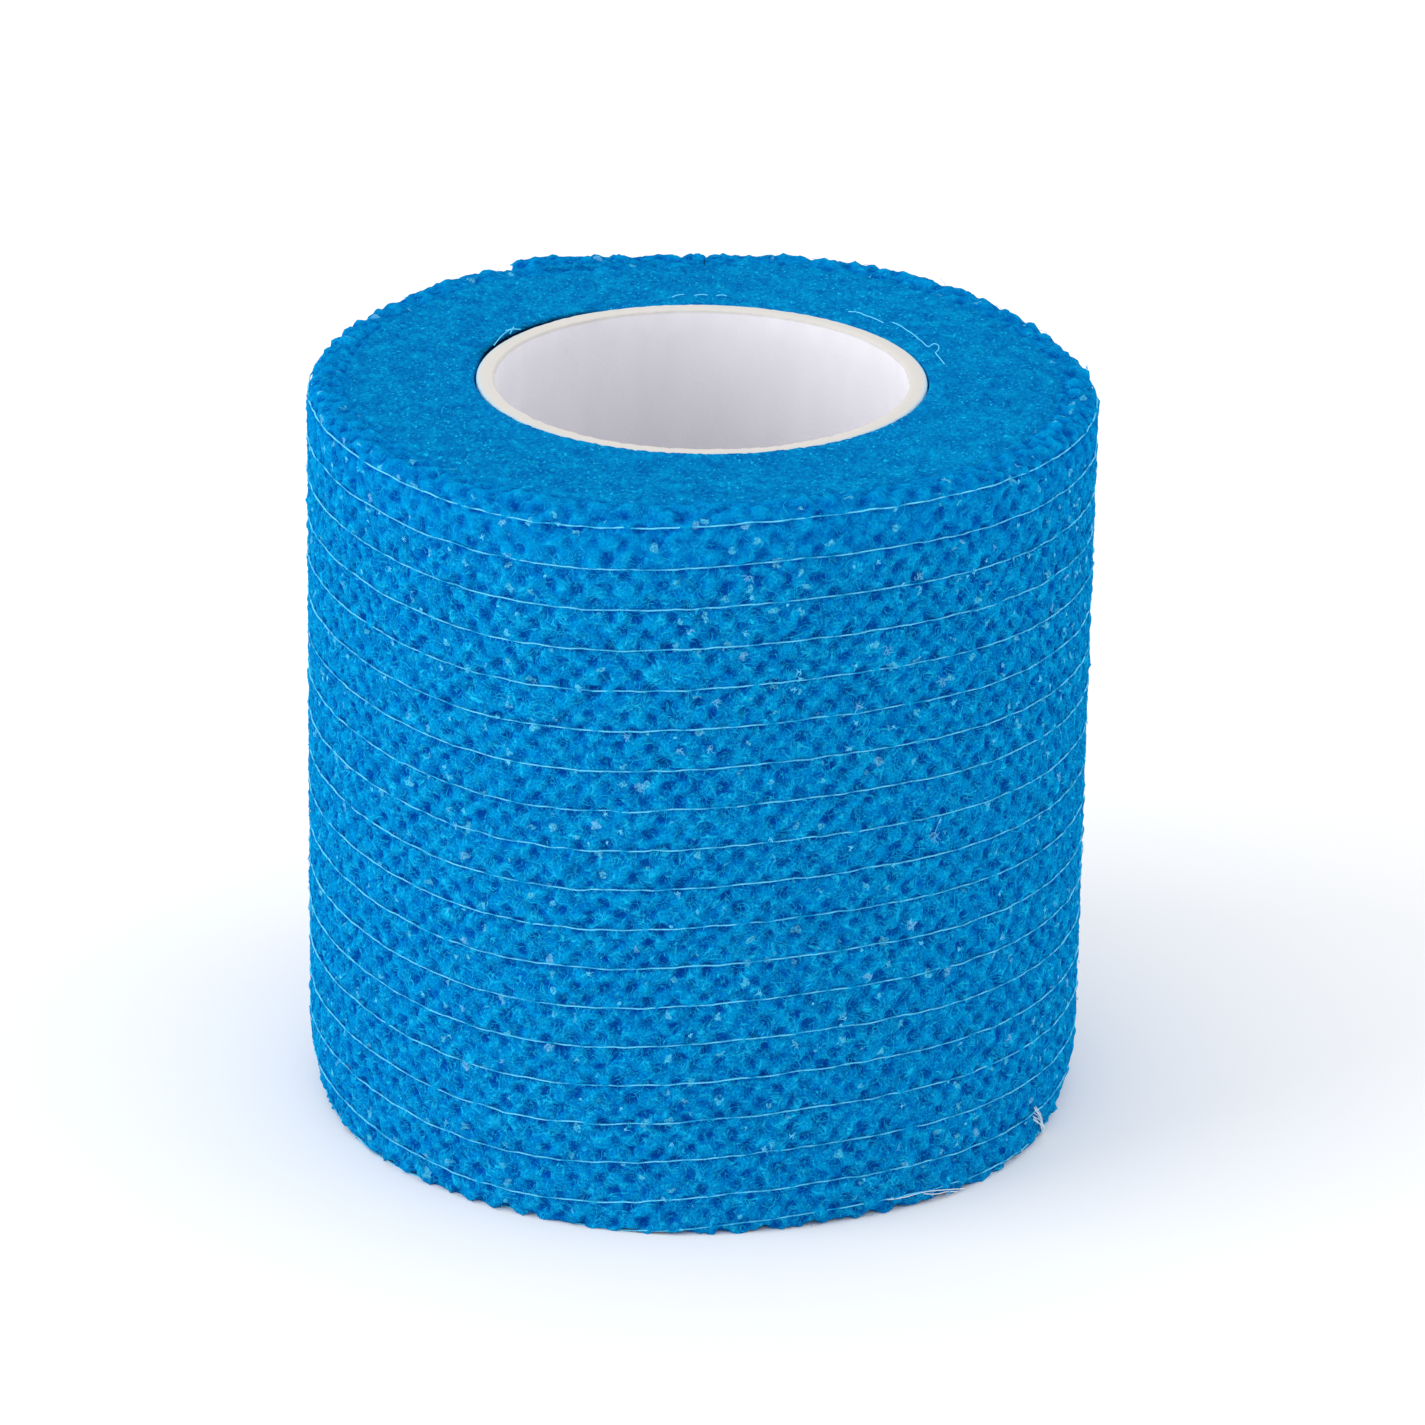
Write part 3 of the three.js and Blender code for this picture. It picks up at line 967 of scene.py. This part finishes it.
def cloth_material():
    """Crinkled cloth: pits and ridges, threads' furrows and a web of fibres over them; the pits are
    darkened partly with painted shade, and a painted shadow lies just below each thread.
    """
    material, graph, looks = new_material("crinkled cloth")
    plane = graph.node("ShaderNodeUVMap", {"uv_map": "tape"})
    _, across, _ = graph.parts(plane)
    pits = crinkle(graph, plane) * calm(graph, plane, 0.3)
    fine = calm(graph, plane, 0.5)
    off = off_thread(graph, plane)
    uneven = crumple(graph, plane)
    grain = (graph.speckle(plane, 6.0, 3.0) - 0.5) * fine
    web = fibre_web(graph, plane) * fine
    patchy = graph.speckle(graph.moved(plane, (40.0, 7.0, 0.0)), 1.1, 1.0)
    # Painted shadow: the tone falls in a patchy band just below each elastic thread, where the thread
    # shades the cloth.
    under = off.rising(-0.4, -0.12) * (1.0 - off.rising(-0.08, 0.0)) * patchy.rising(0.4, 0.6)
    # The tone falls in the pits partly as painted shade of the hollows, and just below the threads as
    # painted shadow.
    tone = uneven * 1.4 + grain * 1.9 - pits * 0.7 - under * 0.4 + 0.60
    crossed = web * (patchy.rising(0.5, 0.75) * 0.38 + 0.41)
    colour = graph.mixed(crossed, dyed(graph, looks, tone), looks.fibre)
    fluffy = graph.speckle(plane, 7.0, 2.0).rising(0.3, 0.62) * 0.8 + 0.1
    knots = spots(graph, plane, 1.6, 0.3, 0.32) * fluffy
    colour = graph.mixed(knots * 0.95, colour, looks.knot)
    flecks = spots(graph, graph.moved(plane, (13.0, 5.0, 0.0)), 3.1, 0.13, 0.40) * fluffy
    colour = graph.mixed(flecks, colour, looks.fleck)
    on_end = across.rising(*PAST_RIM) + (1.0 - across.rising(*PAST_FOOT))
    colour = graph.mixed(on_end, colour, felt_colour(graph, looks, object_place(graph)))
    height = web * 0.03 + grain * 0.06 - pits * 0.05 + (knots + flecks) * 0.05
    end_material(graph, colour, 0.92, height * MM)
    return material


# Painted shadow: a near-black colour laid on the felted edges down in the gap beside the tube, where
# shade falls.
GAP_SHADOW = (0.0, 0.008, 0.03)  # of the turns' edges down in the gap beside the tube
FELT_BUMP = 0.06 * MM


def felt_material():
    """Felted edges of the turns, with a painted shadow down in the gap beside the tube."""
    material, graph, looks = new_material("felted edges")
    place = object_place(graph)
    x, y, height = graph.parts(place)
    radius = (x * x + y * y) ** 0.5
    gap_turn = CORE_GAP_TURN * DEGREE
    beside = (x * math.sin(gap_turn) - y * math.cos(gap_turn)) / radius
    low = (TAPE_WIDTH / MM - height).rising(-0.05, 0.2) * height.rising(0.1, 0.4)
    near = 1.0 - (radius - CORE_OUTER / MM).rising(0.5, 1.1)
    # Painted shadow: the felt turns near black below the top, close to the tube, on the side where the
    # gap beside it is widest.
    deep = low * near * beside.rising(0.86, 0.95)
    colour = graph.mixed(deep, felt_colour(graph, looks, place), GAP_SHADOW)
    grain = graph.speckle(place, 5.0, 3.0)
    end_material(graph, colour, 0.95, grain * FELT_BUMP)
    return material


def fibre_material(name, first, second):
    """Single fibres, each of its own shade between two colours."""
    material, graph, _ = new_material(name)
    shade = graph.node("ShaderNodeAttribute", {"attribute_name": "shade"}, output="Fac")
    mottle = graph.speckle(object_place(graph), 1.2, 1.0)
    colour = graph.mixed((shade * 0.9 + mottle * 0.5).rising(0.33, 1.28), first, second)
    end_material(graph, colour, 0.8, 0.0)
    return material


def thread_material():
    """Elastic threads, glossier and paler than the cloth, dyed unevenly."""
    material, graph, looks = new_material("elastic thread")
    mottle = graph.speckle(object_place(graph), 0.9, 3.0)
    colour = graph.mixed(mottle.rising(0.3, 0.62), looks.ridge, looks.thread)
    end_material(graph, colour, 0.6, 0.0)
    return material


BOARD_BUMP = 0.02 * MM
BOARD_PULP = (0.55, 0.52, 0.48)
BOARD_GLUE = (0.76, 0.66, 0.62)
BOARD_STAIN = (0.38, 0.66, 0.84)  # where the tape's dye rubs off on the tube's outer edge
GLUE_DEPTH = 0.9  # millimetres from the tube's outer face to the line where its lining is glued on


def board_material():
    """White board: a smooth paper lining, and cut edges where the board's own tint shows."""
    material, graph, looks = new_material("white board")
    place = object_place(graph)
    x, y, height = graph.parts(place)
    radius = (x * x + y * y) ** 0.5
    fibre = graph.speckle(place, 5.0, 4.0)
    cloudy = graph.speckle(graph.scaled(place, (1.0, 1.0, 0.4)), 0.35, 2.0)
    cut = height.rising(TAPE_WIDTH / MM - 0.3, TAPE_WIDTH / MM - 0.1)
    cut = cut.at_least(1.0 - height.rising(0.1, 0.3))
    lining = graph.mixed(cloudy.rising(0.3, 0.75) * 0.18, looks.lining, (1.0, 1.0, 1.0))
    board = graph.mixed(fibre.rising(0.35, 0.7) * 0.2, looks.board, BOARD_PULP)
    stained = (radius + fibre * 0.3).rising(CORE_OUTER / MM - 0.2, CORE_OUTER / MM + 0.15)
    board = graph.mixed(stained * 0.75, board, BOARD_STAIN)
    off_glue = abs(radius - (CORE_OUTER / MM - GLUE_DEPTH) + cloudy * 0.12)
    glue = (1.0 - off_glue.rising(0.02, 0.09)) * fibre.rising(0.35, 0.6)
    board = graph.mixed(glue * 0.4, board, BOARD_GLUE)
    end_material(graph, graph.mixed(cut, lining, board), 0.75, fibre * BOARD_BUMP)
    return material


# Board tube

TUBE_COLUMNS = 220
LIP_ROUNDING = 0.18 * MM
LIP_STEPS = 4
SIDE_STEPS = (2, 30, 2, 12)  # over the upper lip, down the bore, under the lower lip, up outside
LIP_WEAR = 0.35 * MM  # how far down from the lip the wear reaches
LIP_RAG = 0.09 * MM
LIP_RISE = 0.04 * MM
BORE_BULGE = 0.05 * MM
OUTER_SKIN = 0.1 * MM  # less deep than this, the tube keeps its height
CREASE_PLACE = (165, 1.1 * MM)  # its turn in degrees, and how far it is below the lip
CREASE_REACH = (9, 0.22 * MM)
CREASE_DEPTH = 0.16 * MM


def lip_points(corner, wall, start):
    """Points around the rounding of a corner of the tube's section, from a start in degrees."""
    depth = min(max(corner[0], LIP_ROUNDING), wall - LIP_ROUNDING)
    height = min(max(corner[1], LIP_ROUNDING), TAPE_WIDTH - LIP_ROUNDING)
    angles = [start * DEGREE + QUARTER * step / LIP_STEPS for step in range(LIP_STEPS + 1)]
    around = [Vector((-math.cos(angle), math.sin(angle))) for angle in angles]
    return [Vector((depth, height)) + way * LIP_ROUNDING for way in around]


def tube_section(wall):
    """Points of the tube's section, each a way in from its outer face and a height."""
    corners = ((0.0, TAPE_WIDTH), (wall, TAPE_WIDTH), (wall, 0.0), (0.0, 0.0))
    lips = [lip_points(corner, wall, 90 * number) for number, corner in enumerate(corners)]
    section = []
    for lip, following, steps in zip(lips, lips[1:] + lips[:1], SIDE_STEPS):
        section += lip
        section += [lip[-1].lerp(following[0], step / steps) for step in range(1, steps)]
    return section


def tube_wear(turn, depth, height, wall):
    """How far wear moves a point of the tube's skin inwards and up: a ragged lip and a crease."""
    spot = Vector((math.sin(turn), math.cos(turn), height * 40)) * 14
    bulge = noise.noise(spot * 0.35)
    rag = noise.noise(spot * 3.1) + 0.6 * noise.noise(spot * 7.3)
    near_lip = math.exp(-((TAPE_WIDTH - height) / LIP_WEAR) ** 2)
    off_crease = (math.degrees(turn) - CREASE_PLACE[0]) / CREASE_REACH[0]
    above_crease = (height - TAPE_WIDTH + CREASE_PLACE[1]) / CREASE_REACH[1]
    crease = math.exp(-(off_crease**2) - above_crease**2) * CREASE_DEPTH
    inwards = BORE_BULGE * bulge + LIP_RAG * rag * near_lip - crease
    upwards = LIP_RISE * rag * near_lip
    return inwards * (depth > wall * 0.8), upwards * (depth > OUTER_SKIN)


def tube_mesh(wall):
    """The tube's closed mesh."""
    section = tube_section(wall)
    points = []
    for column in range(TUBE_COLUMNS):
        turn = 2 * math.pi * column / TUBE_COLUMNS - math.pi
        for depth, height in section:
            inwards, upwards = tube_wear(turn, depth, height, wall)
            radius = CORE_OUTER - depth - inwards
            points.append((math.sin(turn) * radius, -math.cos(turn) * radius, height + upwards))
    rows = len(section)
    faces = []
    for column in range(TUBE_COLUMNS):
        beside = (column + 1) % TUBE_COLUMNS
        for row in range(rows):
            above = (row + 1) % rows
            faces.append(
                (column * rows + row, beside * rows + row, beside * rows + above, column * rows + above)
            )
    mesh = bpy.data.meshes.new("core_tube")
    mesh.from_pydata(points, [], faces)
    mesh.shade_smooth()
    return mesh


# Stray fibres that are seen one by one


def drawn_fibres(name, paths, radius, material):
    """Thin closed tubes along smooth paths of points, as a piece."""
    curve = bpy.data.curves.new(name, "CURVE")
    curve.dimensions = "3D"
    curve.bevel_depth = radius
    curve.bevel_resolution = 0
    curve.use_fill_caps = True
    for path in paths:
        spline = curve.splines.new("NURBS")
        spline.points.add(len(path) - 1)
        for point, place in zip(spline.points, path):
            point.co = (*place, 1.0)
        spline.use_endpoint_u = True
        spline.order_u = 3
        spline.resolution_u = 2
    mesh = plain_mesh(linked(name + "_maker", curve))
    mesh.materials.clear()
    mesh.materials.append(material)
    mesh.shade_smooth()
    add_piece(name, mesh)


# Single hairs on the top: x, y and height above it, in millimetres
TOP_HAIRS = (
    ((9.85, 13.5, 0.1), (10.5, 13.3, 0.2), (11.0, 12.7, 0.1), (11.5, 12.1, 0.2), (12.2, 11.3, 0.1)),
    (
        (12.8, 11.4, 0.1), (13.2, 10.8, 0.2), (13.6, 10.1, 0.1), (14.2, 8.7, 0.2), (14.5, 8.0, 0.1),
        (14.7, 7.4, 0.2), (15.1, 6.2, 0.1), (15.4, 6.2, 0.5), (15.8, 6.1, 0.4), (15.8, 5.9, 0.1),
        (15.5, 5.4, 0.1), (15.7, 4.8, 0.1), (16.1, 3.1, 0.1),
    ),
    ((-13.9, 5.5, 0.1), (-13.6, 6.6, 0.2), (-13.2, 7.6, 0.3), (-12.8, 8.3, 0.3), (-12.6, 8.8, 0.1)),
    ((-12.9, 7.9, 0.1), (-12.7, 8.5, 0.3), (-12.7, 9.3, 0.1)),
    ((-13.2, 8.5, 0.1), (-12.8, 8.4, 0.3), (-12.2, 8.5, 0.2)),
    ((-2.1, 16.0, 0.1), (-1.7, 16.3, 0.2), (-1.3, 16.6, 0.1)),
    ((-0.6, 16.4, 0.1), (-0.1, 16.5, 0.2), (0.3, 16.5, 0.1)),
    ((0.9, 16.4, 0.1), (1.3, 16.5, 0.2), (1.6, 16.4, 0.1)),
)

# Threads that have come loose at the foot: turn in degrees, height and way off the wall in millimetres
FOOT_THREADS = (
    (
        (29.8, 1.0, 0.0), (32.2, 0.9, 0.1), (34.7, 0.9, 0.0),
        (36.7, 0.9, 0.1), (39.0, 0.7, 0.1), (43.6, 0.2, 0.1),
    ),
    ((36.0, 0.8, 0.1), (38.2, 0.5, 0.2), (40.1, 0.5, 0.1), (42.0, 0.2, 0.1)),
)
BUNCH_TOP = (60.8, 3.3, 0.15)
BUNCH_FOOT = (67.3, 0.1, 0.15)
BUNCH_COUNT = 12

# Flecks that are seen in the photograph: turn in degrees, height and width in millimetres
FLECKS = (
    (32.2, 44.6, 0.35), (36.9, 37.1, 0.4), (27.5, 40.0, 0.35), (23.0, 36.5, 0.35),
    (36.1, 26.4, 0.55), (6.8, 45.8, 0.35), (61.1, 39.0, 0.3), (2.8, 37.5, 0.3),
    (2.1, 34.3, 0.3), (-2.2, 34.1, 0.3), (-9.7, 34.8, 0.25), (-71.9, 49.4, 0.3),
    (-62.5, 49.5, 0.3), (-47.6, 49.2, 0.25), (37.5, 0.6, 0.25), (40.5, 0.4, 0.25),
)
LINT_COUNT = 300
LINT_FIBRES = 9
LINT_HEIGHTS = (1.0, 49.5)
LINT_WIDTHS = (0.1, 0.24)
LINT_PROUD = 0.12  # how far its middle is off the wall
LINT_REST = 0.03 * MM
STRAY_SEED = 5
STRAY_RADII = {
    "top_hairs": 0.042 * MM,
    "foot_threads": 0.035 * MM,
    "foot_bunch": 0.024 * MM,
    "flecks": 0.018 * MM,
    "lint": 0.016 * MM,
}
WHITE_STRAND = (0.70, 0.82, 0.90)


def wall_place(turn, height, proud):
    """The point just off the wall at a turn in degrees, a height and a distance in millimetres."""
    sizes = bpy.context.scene.roll_sizes
    angle = turn * DEGREE
    low = max(1.0 - height * MM / FOOT_TUCK_HEIGHT, 0.0) ** 2
    in_rim = min(max(1.0 + (height * MM - TAPE_WIDTH) / sizes.rim_rounding, 0.0), 1.0)
    radius = sizes.outer_radius + (turn / HALF_TURN) ** 3 * STEP_HEIGHT / 2 + proud * MM
    radius -= sizes.rim_rounding * (1 - math.sqrt(1 - in_rim**2))
    radius -= FOOT_TUCK * math.sin(angle) ** 8 * low
    for depth, middle, reach in FOOT_BULGES:
        off = math.cos((turn - middle) * DEGREE) - 1
        radius += depth * math.exp(off * 2 / (reach * DEGREE) ** 2) * low
    return Vector((math.sin(angle) * radius, -math.cos(angle) * radius, height * MM))


def lint(draw, turn, height, width):
    """Paths of a few curled fibres that bunch at a place on the wall."""
    centre = wall_place(turn, height, LINT_PROUD)
    out = Vector((centre.x, centre.y, 0.0)).normalized()
    paths = []
    for _ in range(LINT_FIBRES):
        path = []
        for _ in range(3):
            stray = Vector([draw.gauss(0.0, 0.55) for _ in range(3)])
            point = centre + (stray - out * (stray.dot(out) * 0.8)) * (width * MM)
            path.append(Vector((point.x, point.y, max(point.z, LINT_REST))))
        paths.append(path)
    return paths


def strewn_lint(draw):
    """Paths of the wisps of lint that lie all around the wall."""
    paths = []
    for _ in range(LINT_COUNT):
        turn = draw.uniform(-HALF_TURN, HALF_TURN)
        paths += lint(draw, turn, draw.uniform(*LINT_HEIGHTS), draw.uniform(*LINT_WIDTHS))
    return paths


def foot_bunch(draw):
    """Paths of the undyed strands that hang together over the foot's edge."""
    paths = []
    for _ in range(BUNCH_COUNT):
        start = Vector(BUNCH_TOP) + Vector((draw.uniform(0, 0.7), -draw.uniform(0, 1.2), 0.0))
        end = Vector(BUNCH_FOOT) + Vector((draw.uniform(-0.9, 0.7), draw.uniform(0, 0.4), 0.0))
        bend = Vector((draw.gauss(0, 0.2), draw.gauss(0, 0.1), draw.uniform(0.0, 0.3)))
        path = (start, start.lerp(end, 0.35) + bend, start.lerp(end, 0.7) - bend * 0.5, end)
        paths.append([wall_place(turn, height, max(proud, 0.0)) for turn, height, proud in path])
    return paths


# Operators


class RollOperator:
    """What the operators of this roll share."""

    bl_options = {"REGISTER", "UNDO"}


class TAPE_OT_outer_turns(RollOperator, bpy.types.Operator):
    """Add the crinkled outer turns"""

    bl_idname = "tape_roll.outer_turns"
    bl_label = "Outer turns"

    def execute(self, context):
        values = {"Columns": TURN_COLUMNS, "Rows": TURN_ROWS, "Inside rows": HIDDEN_ROWS}
        turns = grow("outer_turns", outer_turns_tree(cloth_material()), values)
        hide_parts("wound_tape")
        return {"FINISHED"}


class TAPE_OT_inner_turns(RollOperator, bpy.types.Operator):
    """Add the felted edges of the inner turns"""

    bl_idname = "tape_roll.inner_turns"
    bl_label = "Inner turns"

    def execute(self, context):
        values = {"Columns": EDGE_COLUMNS, "Rows": EDGE_ROWS}
        grow("inner_turns", inner_turns_tree(felt_material()), values)
        return {"FINISHED"}


class TAPE_OT_loose_end(RollOperator, bpy.types.Operator):
    """Add the lifted loose end"""

    bl_idname = "tape_roll.loose_end"
    bl_label = "Loose end"

    def execute(self, context):
        values = {"Columns": LOOSE_COLUMNS, "Rows": LOOSE_ROWS}
        end = grow("loose_flap", loose_end_tree(bpy.data.materials["crinkled cloth"]), values)
        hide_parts("loose_end")
        return {"FINISHED"}


class TAPE_OT_threads(RollOperator, bpy.types.Operator):
    """Add the elastic threads"""

    bl_idname = "tape_roll.threads"
    bl_label = "Elastic threads"

    def execute(self, context):
        values = {"Rows": THREAD_COUNT, "Seed": THREAD_SEED}
        grow("elastic_threads", threads_tree(thread_material()), values)
        return {"FINISHED"}


class TAPE_OT_fibres(RollOperator, bpy.types.Operator):
    """Add the loose fibres on the wall and on the top"""

    bl_idname = "tape_roll.fibres"
    bl_label = "Loose fibres"

    def execute(self, context):
        looks = context.scene.tape_looks
        material = fibre_material("fibres", looks.cloth, looks.fibre)
        for name, seed in WALL_FIBRE_SEEDS.items():
            values = {"Density": WALL_FIBRE_DENSITY, "Seed": seed}
            grow(name, wall_fibres_tree(material), values)
        values = {"Density": TOP_FIBRE_DENSITY, "Seed": TOP_FIBRE_SEED}
        grow("top_fibres", top_fibres_tree(material), values)
        return {"FINISHED"}


class TAPE_OT_core(RollOperator, bpy.types.Operator):
    """Add the board tube"""

    bl_idname = "tape_roll.core"
    bl_label = "Board tube"

    def execute(self, context):
        mesh = tube_mesh(context.scene.roll_sizes.core_wall)
        mesh.materials.append(board_material())
        tube = add_piece("core_tube", mesh)
        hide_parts("core")
        return {"FINISHED"}


class TAPE_OT_strays(RollOperator, bpy.types.Operator):
    """Add the stray hairs that are seen one by one"""

    bl_idname = "tape_roll.strays"
    bl_label = "Stray hairs"

    def execute(self, context):
        looks = context.scene.tape_looks
        draw = random.Random(STRAY_SEED)
        dyed_fibre = fibre_material("dyed lint", looks.thread, looks.fibre)
        pale_fibre = fibre_material("undyed lint", looks.fleck, looks.thread)
        white_fibre = fibre_material("white strands", WHITE_STRAND, looks.thread)
        top = [[Vector((x, y, TAPE_WIDTH / MM + up)) * MM for x, y, up in path] for path in TOP_HAIRS]
        foot = [[wall_place(*place) for place in path] for path in FOOT_THREADS]
        flecks = [path for fleck in FLECKS for path in lint(draw, *fleck)]
        for name, paths, material in (
            ("top_hairs", top, dyed_fibre),
            ("foot_threads", foot, white_fibre),
            ("foot_bunch", foot_bunch(draw), white_fibre),
            ("flecks", flecks, pale_fibre),
            ("lint", strewn_lint(draw), dyed_fibre),
        ):
            drawn_fibres(name, paths, STRAY_RADII[name], material)
        return {"FINISHED"}


class TAPE_OT_stage(RollOperator, bpy.types.Operator):
    """Add the floor, the light and the camera"""

    bl_idname = "tape_roll.stage"
    bl_label = "Stage"

    def execute(self, context):
        looks = context.scene.stage_looks
        add_camera(looks)
        add_floor(looks)
        add_lights(looks)
        context.scene.view_settings.view_transform = "Standard"
        return {"FINISHED"}


PICTURE_SIDE = 1425
AIM_HEIGHT = 24.167 * MM
AIM_PIXEL = (696.2, 739.4)
CAMERA_ROLL = 0.0156
FLOOR_HALF = 2.0
LIGHT_SIDE = 0.5
# Each light's name, its share of the key light's power, and its place
LIGHTS = (
    ("key", 1.0, (-0.60, -0.22, 0.30)),
    ("fill", 0.25, (0.60, -0.05, 0.25)),
)


def add_camera(looks):
    """The camera, aimed at the roll's middle and shifted to the photograph's framing."""
    data = bpy.data.cameras.new("camera")
    data.lens = looks.focal
    data.sensor_width = 36.0
    data.shift_x = (PICTURE_SIDE / 2 - AIM_PIXEL[0]) / PICTURE_SIDE
    data.shift_y = (AIM_PIXEL[1] - PICTURE_SIDE / 2) / PICTURE_SIDE
    data.clip_start = 0.01
    camera = linked("camera", data)
    backwards = Vector((0.0, -math.cos(looks.elevation), math.sin(looks.elevation)))
    place = Vector((0.0, 0.0, AIM_HEIGHT)) + backwards * looks.distance
    turned = Matrix.Rotation(QUARTER - looks.elevation, 4, "X") @ Matrix.Rotation(CAMERA_ROLL, 4, "Z")
    camera.matrix_world = Matrix.Translation(place) @ turned
    bpy.context.scene.camera = camera


def add_floor(looks):
    """A wide pale floor."""
    corners = [(x * FLOOR_HALF, y * FLOOR_HALF, 0.0) for x, y in ((-1, -1), (1, -1), (1, 1), (-1, 1))]
    mesh = bpy.data.meshes.new("floor")
    mesh.from_pydata(corners, [], [(0, 1, 2, 3)])
    material, graph, _ = new_material("pale floor")
    inputs = {"Base Color": opaque(looks.floor), "Roughness": 0.9, "Specular IOR Level": 0.0}
    graph.end("ShaderNodeOutputMaterial", graph.node("ShaderNodeBsdfPrincipled", inputs=inputs))
    mesh.materials.append(material)
    linked("floor", mesh)


def add_lights(looks):
    """An even light from all around and a large soft one from the front left."""
    world = bpy.data.worlds.new("studio")
    world.use_nodes = True
    world.node_tree.nodes.clear()
    graph = Graph(world.node_tree)
    inputs = {"Color": (1.0, 1.0, 1.0, 1.0), "Strength": looks.world_strength}
    graph.end("ShaderNodeOutputWorld", graph.node("ShaderNodeBackground", inputs=inputs))
    bpy.context.scene.world = world
    for name, share, place in LIGHTS:
        data = bpy.data.lights.new(name, "AREA")
        data.energy = looks.key_power * share
        data.size = LIGHT_SIDE
        towards = Vector((0.0, 0.0, TAPE_WIDTH / 2)) - Vector(place)
        turned = towards.to_track_quat("-Z", "Y").to_matrix().to_4x4()
        linked(name, data).matrix_world = Matrix.Translation(place) @ turned


class TAPE_PT_roll(bpy.types.Panel):
    """Panel with the roll's sizes, colours and steps"""

    bl_idname = "TAPE_PT_roll"
    bl_label = "Tape Roll"
    bl_space_type = "VIEW_3D"
    bl_region_type = "UI"
    bl_category = "Tape Roll"

    def draw(self, context):
        """Lists the settings, then a button for each step."""
        for holder, kind in SETTINGS.items():
            for name in kind.__annotations__:
                self.layout.prop(getattr(context.scene, holder), name)
        for step in STEPS:
            self.layout.operator(step.bl_idname)


STEPS = (
    TAPE_OT_stage,
    TAPE_OT_outer_turns,
    TAPE_OT_inner_turns,
    TAPE_OT_loose_end,
    TAPE_OT_threads,
    TAPE_OT_fibres,
    TAPE_OT_core,
    TAPE_OT_strays,
)
SETTINGS = {"roll_sizes": RollSizes, "tape_looks": TapeLooks, "stage_looks": StageLooks}


def register():
    """Registers the settings, the steps and the panel."""
    for kind in (*SETTINGS.values(), *STEPS, TAPE_PT_roll):
        bpy.utils.register_class(kind)
    for name, kind in SETTINGS.items():
        setattr(bpy.types.Scene, name, bpy.props.PointerProperty(type=kind))


def unregister():
    """Takes them away again."""
    for name in SETTINGS:
        delattr(bpy.types.Scene, name)
    for kind in (TAPE_PT_roll, *STEPS, *SETTINGS.values()):
        bpy.utils.unregister_class(kind)


def main():
    """Registers the add-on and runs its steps."""
    register()
    for step in STEPS:
        getattr(bpy.ops.tape_roll, step.bl_idname.split(".")[1])()


if __name__ == "__main__":
    main()
